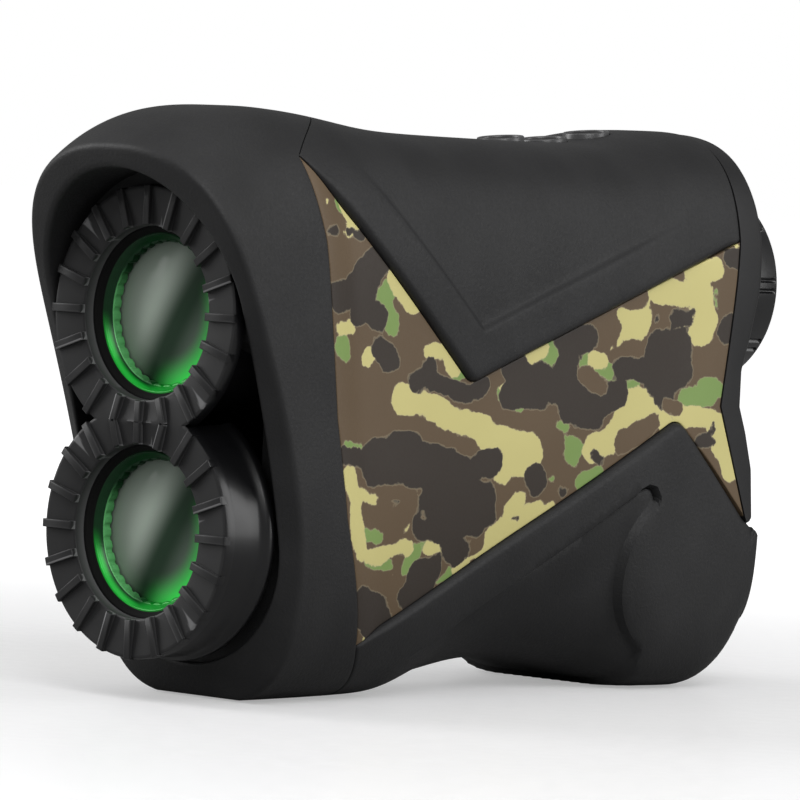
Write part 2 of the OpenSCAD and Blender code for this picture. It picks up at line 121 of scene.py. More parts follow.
def roof(y):
    """Height of the roof's middle: it dips between the hood and the eyepiece and drops over the hood."""
    return BODY_H - ROOF_DIP * step(y, 25, 5) * (1 - step(y, 84, 3.5)) - HOOD_DROP * nose(y)


def floor_z(y):
    """Height of the base's middle: an arch under the panels and a round heel below the battery."""
    heel = HEEL_R - np.sqrt(np.clip(HEEL_R ** 2 - np.clip(y - HEEL_Y, 0, HEEL_R - 0.3) ** 2, 0, None))
    return -0.35 + ARCH * bump(y, 60, 14) + heel


def half_width(y):
    """Half the width: a slight waist in the middle, and the hood draws in at its front."""
    return BODY_W / 2 - 0.5 * bump(y, 50, 25) - HOOD_IN * nose(y)


def outline_point(y, psi, inset=0.0):
    """X and Z of the case's section at y, at the polar angle psi from +X."""
    c, s = np.cos(psi), np.sin(psi)
    power = np.where(s >= 0, 3.5 - 1.1 * nose(y), 3.6 - 0.7 * bump(y, 50, 18) + 3.4 * step(y, 79, 2))
    height = np.where(s >= 0, roof(y) - MID_Z, MID_Z - floor_z(y)) - inset
    width = half_width(y) - inset
    r = ((np.abs(c) / width) ** power + (np.abs(s) / height) ** power) ** (-1 / power)
    return r * c, np.maximum(MID_Z + r * s, inset)


ANGLES = np.linspace(np.pi / 2, -np.pi / 2, 361)
BATCH = 4000


def half_section(y):
    """Sections at each y from the roof's middle down the +X side, with the length along each."""
    y = np.atleast_1d(y).astype(float)[:, None]
    x, z = outline_point(y, ANGLES[None, :])
    x[:, 0], x[:, -1] = 0, 0
    length = np.hypot(np.diff(x, axis=1), np.diff(z, axis=1)).cumsum(axis=1)
    return x, z, np.concatenate([np.zeros((len(y), 1)), length], axis=1)


def unit(rows):
    """Each row as a vector of length 1."""
    return rows / np.maximum(np.linalg.norm(rows, axis=1), 1e-9)[:, None]


def along(table, wanted, values):
    """Row by row linear interpolation of values at wanted places of a rising table."""
    i = np.clip((table < wanted[:, None]).sum(axis=1), 1, table.shape[1] - 1)
    rows = np.arange(len(wanted))
    a, b = table[rows, i - 1], table[rows, i]
    t = np.clip((wanted - a) / np.maximum(b - a, 1e-9), 0, 1)
    return values[rows, i - 1] * (1 - t) + values[rows, i] * t


def girth_at(y, z):
    """Length along the section from the roof's middle to the height z on the +X side."""
    y, z = np.broadcast_arrays(np.atleast_1d(y).astype(float), np.atleast_1d(z).astype(float))
    _, zs, length = half_section(y)
    return along(-zs, -z, length)


def on_case(y, s, under=False):
    """Points on the case. s is the length round it from the roof's middle, or from the base's if under."""
    y, s = np.asarray(y, float), np.asarray(s, float)
    out = np.empty((len(y), 3))
    for start in range(0, len(y), BATCH):
        part = slice(start, start + BATCH)
        x, z, length = half_section(y[part])
        wanted = np.abs(s[part])
        if under:
            wanted = length[:, -1] - wanted
        out[part, 0] = along(length, wanted, x) * np.where(s[part] < 0, -1, 1)
        out[part, 1] = y[part]
        out[part, 2] = along(length, wanted, z)
    return out


def normals_on_case(y, s, under):
    """Unit vectors that point out of the case."""
    d = 0.3
    along_y = on_case(y + d, s, under) - on_case(y - d, s, under)
    along_s = on_case(y, s + d, under) - on_case(y, s - d, under)
    n = unit(np.cross(along_y, along_s))
    outward = on_case(y, s, under) - np.stack([0 * y, y, 0 * y + MID_Z], 1)
    flip = np.sign((n * outward).sum(axis=1))
    return n * np.where(flip == 0, 1, flip)[:, None]


# ---------------------------------------------------------------- mesh helpers
def world(points):
    """Millimetres from the bezel's face to metres in the frame."""
    p = np.asarray(points, float) * MM
    p[..., 1] += BEZEL_Y
    return p


def add_object(name, data):
    """An object in the scene from a mesh, a light or a camera."""
    obj = bpy.data.objects.new(name, data)
    bpy.context.scene.collection.objects.link(obj)
    return obj


def new_mesh(name, verts, faces, sharp=35):
    """A smooth-shaded object from points in millimetres. Edges above sharp degrees stay sharp."""
    mesh = bpy.data.meshes.new(name)
    mesh.from_pydata([tuple(v) for v in world(verts)], [], [tuple(int(i) for i in f) for f in faces])
    mesh.validate()
    bm = bmesh.new()
    bm.from_mesh(mesh)
    bmesh.ops.remove_doubles(bm, verts=bm.verts, dist=1e-7)
    bmesh.ops.dissolve_degenerate(bm, edges=bm.edges, dist=1e-8)
    bmesh.ops.recalc_face_normals(bm, faces=bm.faces)
    bm.to_mesh(mesh)
    bm.free()
    mesh.polygons.foreach_set("use_smooth", [True] * len(mesh.polygons))
    mesh.set_sharp_from_angle(angle=math.radians(sharp))
    return add_object(name, mesh)


def join_parts(name, parts, sharp=35):
    """One object from several (verts, faces) pairs in millimetres."""
    verts, faces, count = [], [], 0
    for v, f in parts:
        verts.append(np.asarray(v, float))
        faces += [tuple(i + count for i in face) for face in f]
        count += len(v)
    return new_mesh(name, np.concatenate(verts), faces, sharp)


def grid(rows, close_rows=False, cap=False):
    """Quads between closed rows of points. The rows may close into a ring, or the ends be capped."""
    rows = [np.asarray(r, float) for r in rows]
    n, m = len(rows[0]), len(rows)
    verts = np.concatenate(rows)
    faces = []
    for j in range(m if close_rows else m - 1):
        k = (j + 1) % m
        for i in range(n):
            faces.append((j * n + i, j * n + (i + 1) % n, k * n + (i + 1) % n, k * n + i))
    if cap:
        faces.append(tuple(range(n)))
        faces.append(tuple(range((m - 1) * n, m * n)))
    return verts, faces


def turn(steps):
    """Angles evenly round a circle."""
    return np.linspace(0, 2 * np.pi, steps, endpoint=False)


def circle(u, v, radius, steps):
    """A circle in a plane."""
    a = turn(steps)
    return np.stack([u + radius * np.cos(a), v + radius * np.sin(a)], 1)


def ring_round_y(a, radius, y, z):
    """A ring of points round an axis along Y at height z. Its radius may vary with the angle a."""
    return np.stack([radius * np.cos(a), 0 * a + y, z + radius * np.sin(a)], 1)


def lathe(profile, z, steps, close=True):
    """Turns [radius, y] points round an axis along Y at height z."""
    return grid([ring_round_y(turn(steps), r, y, z) for r, y in profile], close_rows=close)


def lathe_x(profile, y, z, steps, **ends):
    """Turns [x, radius] points round an axis along X through y and z."""
    a = turn(steps)
    rows = [np.stack([0 * a + x, y + r * np.cos(a), z + r * np.sin(a)], 1) for x, r in profile]
    return grid(rows, **ends)


def rounded(points, radii):
    """A closed outline with its corners rounded by arcs of the given radii."""
    out = []
    n, steps = len(points), 5
    for i, (p, r) in enumerate(zip(points, radii)):
        p, a, b = np.array(p), np.array(points[i - 1]), np.array(points[(i + 1) % n])
        if r == 0:
            out.append(p)
            continue
        u, v = (a - p) / np.linalg.norm(a - p), (b - p) / np.linalg.norm(b - p)
        half = math.acos(np.clip(u @ v, -1, 1)) / 2
        reach = r / math.tan(half)
        middle = p + (u + v) / np.linalg.norm(u + v) * r / math.sin(half)
        start, end = p + u * reach - middle, p + v * reach - middle
        a0, a1 = math.atan2(start[1], start[0]), math.atan2(end[1], end[0])
        sweep = (a1 - a0 + math.pi) % (2 * math.pi) - math.pi
        for k in range(steps + 1):
            t = a0 + sweep * k / steps
            out.append(middle + r * np.array([math.cos(t), math.sin(t)]))
    return np.array(out)


def resample(points, spacing, closed=False):
    """Splits the edges of a polyline so that none is longer than spacing."""
    points = np.asarray(points, float)
    ends = np.roll(points, -1, axis=0) if closed else points[1:]
    out = []
    for a, b in zip(points, ends):
        k = max(1, int(np.ceil(np.linalg.norm(b - a) / spacing)))
        out += [a + (b - a) * i / k for i in range(k)]
    if not closed:
        out.append(points[-1])
    return np.array(out)


def edge_distance(points, loops):
    """Distance of each point from the nearest edge of some closed loops, and whether it is inside."""
    best = np.full(len(points), 1e9)
    inside = np.zeros(len(points), bool)
    px, py = points[:, 0:1], points[:, 1:2]
    for loop in loops:
        a, b = loop, np.roll(loop, -1, axis=0)
        ab = b - a
        t = (px - a[:, 0]) * ab[:, 0] + (py - a[:, 1]) * ab[:, 1]
        t = np.clip(t / np.maximum((ab ** 2).sum(axis=1), 1e-12), 0, 1)
        dx, dy = a[:, 0] + t * ab[:, 0] - px, a[:, 1] + t * ab[:, 1] - py
        best = np.minimum(best, np.sqrt(dx ** 2 + dy ** 2).min(axis=1))
        rise = np.where(ab[:, 1] == 0, 1e-12, ab[:, 1])
        crosses = ((a[:, 1] > py) != (b[:, 1] > py)) & (px < ab[:, 0] * (py - a[:, 1]) / rise + a[:, 0])
        inside ^= crosses.sum(axis=1) % 2 == 1
    return best, inside


def loop_normals(loop):
    """Unit vectors across a closed loop at each of its points."""
    tangent = unit(np.roll(loop, -1, axis=0) - np.roll(loop, 1, axis=0))
    return np.stack([-tangent[:, 1], tangent[:, 0]], 1)


NET_ROW = 0.866  # rows of a net of even triangles, in edge lengths


def fill_points(loops, spacing, rows, extra):
    """The loops' points, rows of points at given distances from the edges, extra points and a net."""
    base = np.concatenate(loops)
    points = [base]
    for loop in loops:
        side = loop_normals(loop)
        for d in rows:
            for sign in (1, -1):
                row = loop + side * d * sign
                dist, inside = edge_distance(row, loops)
                points.append(row[inside & (dist > d * 0.97)])
    lo, hi = base.min(axis=0), base.max(axis=0)
    ys = np.arange(lo[1], hi[1], spacing * NET_ROW)
    inner = np.array([(x + (k % 2) * spacing / 2, y) for k, y in enumerate(ys)
                      for x in np.arange(lo[0], hi[0], spacing)])
    dist, inside = edge_distance(inner, loops)
    keep = inside & (dist > rows[-1] + spacing * 0.55)
    if len(extra):
        dist, inside = edge_distance(extra, loops)
        extra = extra[inside & (dist > rows[-1] + 0.2)]
        near = np.array([np.hypot(*(extra - q).T).min() < 0.45 for q in inner]) if len(extra) else False
        keep &= ~near
        points.append(extra)
    points.append(inner[keep])
    return np.concatenate(points)


def fill(loops, spacing, rows, extra=()):
    """Triangles inside closed loops, finer along the edges."""
    points = fill_points(loops, spacing, rows, extra)
    edges, start = [], 0
    for loop in loops:
        n = len(loop)
        edges += [(start + i, start + (i + 1) % n) for i in range(n)]
        start += n
    result = delaunay_2d_cdt([Vector(p) for p in points], edges, [], 0, 1e-5)
    flat = np.array([tuple(v) for v in result[0]])
    tris = [f for f in result[2] if len(f) == 3]
    _, keep = edge_distance(flat[np.array(tris)].mean(axis=1), loops)
    return flat, [t for t, k in zip(tris, keep) if k]


def boundary_edges(tris):
    """Directed edges that only one triangle uses."""
    seen = {}
    for t in tris:
        for a, b in ((t[0], t[1]), (t[1], t[2]), (t[2], t[0])):
            key = (min(a, b), max(a, b))
            seen[key] = None if key in seen else (a, b)
    return [e for e in seen.values() if e]


def slab(top, bottom, tris):
    """A closed solid between two copies of one triangle net."""
    n = len(top)
    faces = list(tris) + [(c + n, b + n, a + n) for a, b, c in tris]
    faces += [(b, a, a + n, b + n) for a, b in boundary_edges(tris)]
    return np.concatenate([top, bottom]), faces


def round_over(d, r):
    """How far a rounded edge of radius r lies below the face, at a distance d from the edge."""
    t = np.clip(r - d, 0, r)
    return r - np.sqrt(np.maximum(r * r - t * t, 0))


EDGE_ROWS = (0.04, 0.12, 0.25, 0.42, 0.65, 1.0)


def skin(name, loops, height, under=False, base=SKIN, extra=()):
    """A skin on the case. Its loops are outlines in (y, girth), height(y, s, z, d) is how far it stands
    proud at a distance d from its edge, and base is how thick it is."""
    loops = [resample(loop, 0.6, closed=True) for loop in loops]
    flat, tris = fill(loops, 1.0, EDGE_ROWS, extra)
    y, s = flat.T
    on = on_case(y, s, under)
    n = normals_on_case(y, s, under)
    d, _ = edge_distance(flat, loops)
    top = on + n * height(y, s, on[:, 2], d)[:, None]
    bottom = on - n * (base(y)[:, None] if callable(base) else base)
    return new_mesh(name, *slab(top, bottom, tris))


# ---------------------------------------------------------------- shapes shared by several pieces
def smooth(x, low, high):
    """Rises from 0 at low to 1 at high, and is level at both ends."""
    t = np.clip((x - low) / (high - low), 0, 1)
    return t * t * (3 - 2 * t)


def rim_y(z):
    """Front edge of the hood: a straight slope that bends to upright near the base."""
    return RIM_Y - RIM_SLOPE * RIM_BEND * np.logaddexp(0, (z - RIM_Z) / RIM_BEND)


def hood_back(x, z):
    """Rear edge of the hood: a tongue over the roof and a leaning line down each side."""
    ys, zs = np.array(HOOD_LINE).T
    tongue = TONGUE_Y - (TONGUE_Y - ys[-1]) * (np.abs(x) / TONGUE_HALF) ** 2
    return np.where(z > zs[-1], tongue, np.interp(z, zs, ys))


def tongue_line():
    """The tongue's outline on the roof, as (y, girth) from the middle to the +X side."""
    x = np.linspace(0, TONGUE_HALF, 40)
    y = hood_back(x, 1e3)
    xs, _, length = half_section(y)
    half = len(ANGLES) // 2
    return np.stack([y, along(xs[:, :half], x, length[:, :half])], 1)


TONGUE_HALF = float(on_case(np.array([HOOD_BACK_TOP[0]]), girth_at(*HOOD_BACK_TOP))[0, 0])


def beside(line, offsets, under=False):
    """Points on both flanks, beside a line of (y, z) points, at the given offsets."""
    p = resample(line, 0.5)
    tangent = unit(np.gradient(p, axis=0))
    normal = np.stack([tangent[:, 1], -tangent[:, 0]], 1)
    rows = np.concatenate([p + normal * d for d in offsets])
    s = girth_at(rows[:, 0], rows[:, 1])
    if under:
        s = half_section(rows[:, 0])[2][:, -1] - s
    return np.concatenate([np.stack([rows[:, 0], s], 1), np.stack([rows[:, 0], -s], 1)])


def side_line(points, under=False):
    """A line on the +X side through (y, z) points, as (y, girth)."""
    p = resample(points, 0.6)
    s = girth_at(p[:, 0], p[:, 1])
    if under:
        s = half_section(p[:, 0])[2][:, -1] - s
    return np.stack([p[:, 0], s], 1)


def mirrored(line):
    """The same line on the other side, run backwards."""
    return np.stack([line[::-1, 0], -line[::-1, 1]], 1)


def inset_loop(loop, amount):
    """Moves a closed loop inwards."""
    y, s = loop.T
    area = 0.5 * (y * np.roll(s, -1) - np.roll(y, -1) * s).sum()
    return loop + loop_normals(loop) * amount * np.sign(area)


def bend(points, at, radius):
    """Rounds one corner of an open polyline."""
    radii = [0.0] * len(points)
    radii[at] = radius
    return rounded(points, radii)


def segment_distance(y, z, a, b):
    """Distance of points from the segment between a and b."""
    ay, az = a
    dy, dz = b[0] - ay, b[1] - az
    t = np.clip(((y - ay) * dy + (z - az) * dz) / max(dy * dy + dz * dz, 1e-9), 0, 1)
    return np.hypot(y - ay - t * dy, z - az - t * dz)


V_LINE = bend([HOOD_BACK_TOP, CORNER_V, V_BACK], 1, 2.2)
PEAK_LINE = bend([PEAK_FRONT, PEAK, BAND_LOW], 1, 2.6)


# ---------------------------------------------------------------- outer shells
def at_y(points, y):
    """The same points, moved along Y to a new place."""
    moved = points.copy()
    moved[:, 1] = y
    return moved


def front_hood():
    """Rows round the hood: from its rear edge forwards, over the lip, down the recess and back inside."""
    psi = turn(432)

    def ring(y, inset=0.0):
        x, z = outline_point(y, psi, inset)
        return np.stack([x, 0 * psi + y, z], 1)

    front, back = 0 * psi, 0 * psi + 15.0
    for _ in range(8):
        front = rim_y(ring(front)[:, 2])
        p = ring(back)
        back = hood_back(p[:, 0], p[:, 2]) - SEAM / 2
    edge, fillet = 0.15, 0.75
    rows = [ring(back - e, round_over(e, edge)) for e in (0, 0.02, 0.07, edge)]
    start, end = back - edge, front + fillet
    rows += [ring(start + (end - start) * t) for t in np.linspace(0, 1, 34)[1:]]

    mouth = stadium(psi, MOUTH_R, MOUTH_TOP, LOWER_Z)
    z = mouth[:, 2]
    mouth = at_y(mouth, rim_y(z) - 0.4 - 1.6 * (1 - smooth(z, 22, 60)))
    lip_y = mouth[:, 1] + 0.9
    floor_y = np.maximum(9.8 - 7.1 * smooth(z, 42, 47), mouth[:, 1] + 1.2)
    rows += hood_lip(rows[-1], ring(front), mouth, lip_y, fillet)
    rows += [at_y(mouth, lip_y + (floor_y - lip_y) * t) for t in (0.3, 0.7, 1)]
    # the recess's floor, then the hidden inner faces
    hole = stadium(psi, RECESS_R, UPPER_Z, LOWER_Z)
    thick = 1.2
    rows += [at_y(hole, floor_y), at_y(hole, floor_y + thick)]
    rows += [ring(np.minimum(floor_y + thick, back - 1), SKIN), ring(back, SKIN)]
    return new_mesh("hood_shell", *grid(rows, close_rows=True), sharp=45)


def hood_lip(outside, corner, mouth, lip_y, fillet):
    """Rows over the lip, rounded at its outer corner and at the mouth."""
    across = unit(mouth - corner)
    rows = bezier(outside, corner, corner + across * fillet, 5)
    inner = mouth - across * 0.8
    rows += [rows[-1] + (inner - rows[-1]) * t for t in (0.33, 0.66, 1)]
    return rows + bezier(inner, mouth, at_y(mouth, lip_y), 5)


def stadium(psi, radius, top, bottom):
    """Points where rays from the case's middle meet a slot with round ends."""
    c, s = np.cos(psi), np.sin(psi)

    def arc(middle):
        b = (MID_Z - middle) * s
        return -b + np.sqrt(np.maximum(b * b - (MID_Z - middle) ** 2 + radius ** 2, 0))

    straight = radius / np.maximum(np.abs(c), 1e-6)
    z = MID_Z + straight * s
    r = np.where(z > top, arc(top), np.where(z < bottom, arc(bottom), straight))
    return np.stack([r * c, 0 * psi, MID_Z + r * s], 1)


def bezier(a, control, b, steps):
    """Rows of points along curves from a to b that bend towards a control point."""
    places = np.linspace(0, 1, steps + 1)[1:]
    return [a * (1 - t) ** 2 + 2 * control * t * (1 - t) + b * t * t for t in places]


def side_panel(side):
    """The panel on the +X side for 1 and on the -X side for -1."""
    border = [HOOD_BACK_TOP, *V_LINE[1:-1], V_BACK, BAND_MID, BAND_WAIST, BAND_LOW, *PEAK_LINE[1:-1][::-1]]
    loop = side_line(border + HOOD_LINE[1:])[:-1]
    loop = inset_loop(loop, SEAM / 2)
    loop[:, 1] *= side

    def height(y, s, z, d):
        ahead = y - np.interp(z, *np.array(HOOD_LINE).T[::-1])
        flush = np.maximum(smooth(y, 84, 92), 1 - smooth(ahead, 0.5, 6))
        return -PANEL_DROP + (PANEL_DROP - PANEL_FLUSH) * flush - round_over(d, 0.2) * 0.6

    return skin(f"camouflage_panel_{'right' if side > 0 else 'left'}", [loop], height)


def top_grip():
    """The upper grip, whose V-shaped flap on each side is dished within a border."""
    side = side_line(V_LINE)
    rear = [(V_BACK[0], s) for s in np.linspace(side[-1, 1], 0, 40)[1:-1]]
    right = np.concatenate([tongue_line()[:-1], side, rear, [(V_BACK[0], 0)]])
    outline = inset_loop(np.concatenate([right, mirrored(right[1:-1])]), SEAM / 2)
    front = tongue_line()
    holes = [circle(y, 0, BUTTON_HOLE, 48) for y in BUTTON_Y]
    inner = beside(bend([(6, 73.8), CORNER_V, (93, 60.1)], 1, 1), (-5.7, -6.0, -6.3, -6.6, -6.9))

    def height(y, s, z, d):
        v = np.minimum(segment_distance(y, z, HOOD_BACK_TOP, CORNER_V),
                       segment_distance(y, z, CORNER_V, V_BACK))
        ahead = np.min([np.hypot(y - a, np.abs(s) - b) for a, b in front], axis=0)
        to_rear = V_BACK[0] - y
        radius = 0.12 + 0.3 * smooth(ahead, 0.5, 4) + 0.6 * smooth(ahead, 2, 9) * smooth(to_rear, 0, 3)
        from_hole = np.min([np.abs(np.hypot(y - by, s) - BUTTON_HOLE) for by in BUTTON_Y], axis=0)
        rounding = np.where(from_hole < 1.2, round_over(d, 0.2), round_over(d, radius))
        dish = smooth(v, 5.8, 6.8) * (1 - smooth(z, 58, 71)) * smooth(to_rear, 3, 30)
        return -rounding - 0.62 * dish

    return skin("top_grip_skin", [outline] + holes, height, extra=inner)


CREASE = [(38, 5.2), (45.2, 9.3), (62.3, 19.1), (76.3, 27.1), (78.1, 27.8), (79.5, 27.5), (80.3, 26.3),
          (80.3, 20)]


def crease_depth(y, z):
    """Distance below the crease, where its straight parts run on for ever."""
    below = np.full(len(y), 1e9)
    for a, b in zip(CREASE[:-1], CREASE[1:]):
        normal = np.array([b[1] - a[1], a[0] - b[0]]) / math.dist(a, b)
        below = np.minimum(below, (y - a[0]) * normal[0] + (z - a[1]) * normal[1])
    return below


def bottom_grip():
    """The lower grip: a flap over a scooped flank, with a round lobe behind the scoop."""
    start = HOOD_LINE[0][0]
    front = side_line(HOOD_LINE[:2], under=True)
    front[0, 1] = half_section(start)[2][0, -1] - girth_at(start, 0.05)[0]
    flap = side_line(list(PEAK_LINE) + [(BOTTOM_END + CHEEK, 21.3)], under=True)
    low = [(start, s) for s in np.linspace(0, front[0, 1], 24)[:-1]]
    # the flanks reach back past the battery door, the base ends before its hinge
    s = np.linspace(flap[-1, 1], 0, 70)[1:]
    z = on_case(0 * s + BOTTOM_END, s, under=True)[:, 2]
    rear = np.stack([BOTTOM_END + CHEEK * smooth(z, 4.0, 8.5), s], 1)
    right = np.concatenate([low, front, flap[1:], rear])
    outline = inset_loop(np.concatenate([right, mirrored(right[1:-1])]), SEAM / 2)
    lobe_edge = [(LOBE_Y + LOBE_LONG * np.cos(t), LOBE_Z + LOBE_HIGH * np.sin(t))
                 for t in np.linspace(np.radians(130), np.radians(250), 60)]
    extra = np.concatenate([beside(CREASE[:-1] + [(80.3, 23.5)], (-0.25, 0, 0.12, 0.26, 0.42, 0.7), True),
                            beside(lobe_edge, (-0.5, 0, 0.4, 0.8, 1.3), True)])

    def height(y, s, z, d):
        below = crease_depth(y, z)
        lobe = 13.3 * np.hypot((y - LOBE_Y) / LOBE_LONG, (z - LOBE_Z) / LOBE_HIGH)
        strength = smooth(y, 36, 47) * smooth(lobe, 13.05, 14.2)
        scoop = 0.85 * smooth(below, -0.06, 0.3) + 0.52 * smooth(below, 0.3, 8)
        radius = 0.4 + 0.6 * smooth(z, 6, 12)
        near = np.min([segment_distance(y, z, a, b) for a, b in zip(CREASE[1:-2], CREASE[2:-1])], axis=0)
        groove = 0.5 * bump(below, 0.16, 0.2) * (1 - smooth(near, 0.5, 1.2)) * smooth(y, 44, 50)
        return -round_over(d, radius) - (scoop + groove) * strength

    def thickness(y):
        return SKIN - 0.75 * smooth(y, BOTTOM_END - 0.2, BOTTOM_END + 0.5)

    return skin("bottom_grip_skin", [outline], height, under=True, base=thickness, extra=extra)


WINDOW = [(-14.4, 5.6), (14.4, 5.6), (14.4, 20.8), (3.3, 20.8), (3.3, 21.55), (-3.3, 21.55), (-3.3, 20.8),
          (-14.4, 20.8)]
SCREW_PLACES = [(side * x, z) for side in (-1, 1) for x, z in ((11.5, 68.6), (15, 41.5))]
# heights, and how far back the frame's two faces lie there
BACK_FACE = ([21.6, 30, 35, 38.5, 43.5, 48, 55, 61, 66, 76],
             [100.7, 99.9, 98.3, 96.8, 96.8, 98.3, 100.2, 100.7, 100.3, 99.0])
FRONT_FACE = ([22.2, 23.5, 38.6, 46.5, 61, 76], [99.2, 98.46, 92.16, 93.36, 95.46, 95.46])


def rear_outline():
    """The frame's outline as (x, z): the case's section, drawn in beside the battery and cut off below."""
    section_y, steps, low_end = 90.9, 300, 5.2
    x, z = outline_point(np.full(steps, section_y), turn(steps) - np.pi / 2)
    low = z < FRAME_LOW
    inner = 1 - (SKIN + SEAM) / np.maximum(np.abs(x), 1)
    x[low] *= np.clip(inner[low], 0, 1)
    outline = np.stack([x, z], 1)[z > low_end]
    order = np.argsort(np.arctan2(outline[:, 0], outline[:, 1] - MID_Z))
    return resample(outline[order], 0.7, closed=True)


def rear_faces(x, z):
    """How far back the outer and the inner face of the frame lie."""
    back, front = np.interp(z, *BACK_FACE), np.interp(z, *FRONT_FACE)
    front = np.where(z < FRAME_LOW, 99.0, np.minimum(front, back - 0.8))
    corner = np.hypot(np.maximum(np.abs(x) - 10.5, 0), np.maximum(12 - z, 0))
    back -= 1.3 * smooth(corner, 5.6, 7.4) * (z < 13)
    from_eye = np.hypot(x, z - EYE_Z)
    well = 97.9 + 2 * smooth(from_eye, 14.3, 14.85)
    return np.where(from_eye < 14.9, np.minimum(back, well), back), front


def rear_frame():
    """The back of the case: a face that leans out over the battery, with a rounded band round it."""
    outline = rear_outline()
    holes = [circle(0, EYE_Z, EYE_BORE, 128), resample(WINDOW, 0.7, closed=True)]
    holes += [circle(x, z, SCREW_HOLE, 40) for x, z in SCREW_PLACES]
    well = np.concatenate([circle(0, EYE_Z, r, 160) for r in (14.3, 14.5, 14.8)])
    flat, tris = fill([outline] + holes, 0.9, EDGE_ROWS, well)
    d, _ = edge_distance(flat, [outline])
    hole_d, _ = edge_distance(flat, holes)
    x, z = flat.T
    back, front = rear_faces(x, z)
    back = np.maximum(back - round_over(d, 1.1) * (z > 22) - round_over(hole_d, 0.25), front + 0.3)
    parts = [slab(np.stack([x, back, z], 1), np.stack([x, front, z], 1), tris)]
    for middle in (-KNUCKLE_X, KNUCKLE_X):
        x0, x1 = middle - KNUCKLE_HALF, middle + KNUCKLE_HALF
        parts += [rod_x(x0, x1, *HINGE, 1.5, bore=0.77), block(x0, x1, 98.6, 100.9, 3.4, 5.05, 0.25)]
    return join_parts("rear_frame_shell", parts)


def rod_x(x0, x1, y, z, r, bore):
    """A bored rod along X with rounded ends."""
    edge = 0.25
    ends = [(x0, r - edge), (x0 + edge * 0.3, r - edge * 0.3), (x0 + edge, r),
            (x1 - edge, r), (x1 - edge * 0.3, r - edge * 0.3), (x1, r - edge)]
    return lathe_x([(x0, bore)] + ends + [(x1, bore)], y, z, 48, close_rows=True)


def block(x0, x1, y0, y1, z0, z1, e):
    """A box whose edges have chamfers of width e."""
    rows = []
    for y, inset in ((y0, e), (y0 + e, 0), (y1 - e, 0), (y1, e)):
        a, b, c, d = x0 + inset, x1 - inset, z0 + inset, z1 - inset
        rows.append([(a + e, y, c), (b - e, y, c), (b, y, c + e), (b, y, d - e),
                     (b - e, y, d), (a + e, y, d), (a, y, d - e), (a, y, c + e)])
    return grid(rows, cap=True)


# ---------------------------------------------------------------- front end
def lens_bezel():
    """Two ribbed rings that run into each other."""
    parts = []
    middle = (UPPER_Z + LOWER_Z) / 2
    profile = [
        (HOLE_R, 2.4), (HOLE_R, 1.0), (HOLE_R + 0.12, 0.86), (HOLE_R + 0.3, 0.82), (13.6, 0.66),
        (15.6, 0.5), (RING_R - 0.35, 0.5), (RING_R - 0.1, 0.6), (RING_R, 0.85), (RING_R, 2.2),
        (RING_R - 0.2, 2.4),
    ]
    for z in (UPPER_Z, LOWER_Z):
        verts, faces = lathe(profile, z, steps=240)
        keep = np.sign(z - middle)
        verts[:, 2] = np.where((verts[:, 2] - middle) * keep < 0, middle, verts[:, 2])
        parts.append((verts, [f for f in faces if not all(abs(verts[i][2] - middle) < 1e-6 for i in f)]))
        for i in range(RIBS):
            angle = 2 * np.pi * i / RIBS
            towards = -math.cos(angle)
            outer = RING_R + 0.08
            if towards > 0:
                outer = min(outer, (abs(z - middle) + 0.05) / towards)
            parts.append(rib(z, angle * keep, keep, HOLE_R + 0.04, outer, blunt=outer < RING_R))
    return join_parts("ribbed_bezel", parts, sharp=38)


def rib(z, angle, keep, start, end, blunt):
    """One rib along a radius, with rounded long edges and ends."""
    half, corner = 0.52, 0.14
    section = [(-half, 1.3), (-half, corner)]
    section += [(corner * (1 - math.cos(t)) - half, corner * (1 - math.sin(t)))
                for t in (0.4, 0.8, 1.2, 1.57)]
    section += [(-0.22, 0.0)]
    section += [(-a, y) for a, y in section[::-1]]
    stations = [(start, 0.24), (start + 0.06, 0.1), (start + 0.2, 0.0), (end - 0.2, 0.0)]
    stations += [(end, 0.0)] if blunt else [(end - 0.06, 0.1), (end, 0.24)]
    radial = np.array([math.sin(angle), 0, math.cos(angle) * keep])
    across = np.array([math.cos(angle) * keep, 0, -math.sin(angle)])
    rows = []
    for r, drop in stations:
        rows.append([np.array([0, max(y, drop), z]) + radial * r + across * a for a, y in section])
    return grid(rows, cap=True)


def lower_barrel():
    """The flared barrel under the lower ring."""
    profile = [
        (12.85, 2.5), (15.45, 2.5), (15.62, 2.7), (15.7, 3.5), (15.85, 5.2), (15.95, 6.6), (16.12, 7.3),
        (16.4, 7.7), (16.56, 8.1), (16.58, 8.5), (16.45, 8.95), (16.2, 9.3), (15.6, 9.6), (12.85, 9.7),
    ]
    verts, faces = lathe(profile, LOWER_Z, steps=256)
    # the upper ring's round body cuts into the top of the barrel
    reach = RING_R - 0.45
    underside = UPPER_Z - np.sqrt(np.maximum(reach ** 2 - verts[:, 0] ** 2, 0))
    inside = (verts[:, 2] > underside) & (np.abs(verts[:, 0]) < reach)
    verts[inside, 2] = underside[inside]
    return new_mesh("flared_barrel", verts, faces, sharp=30)


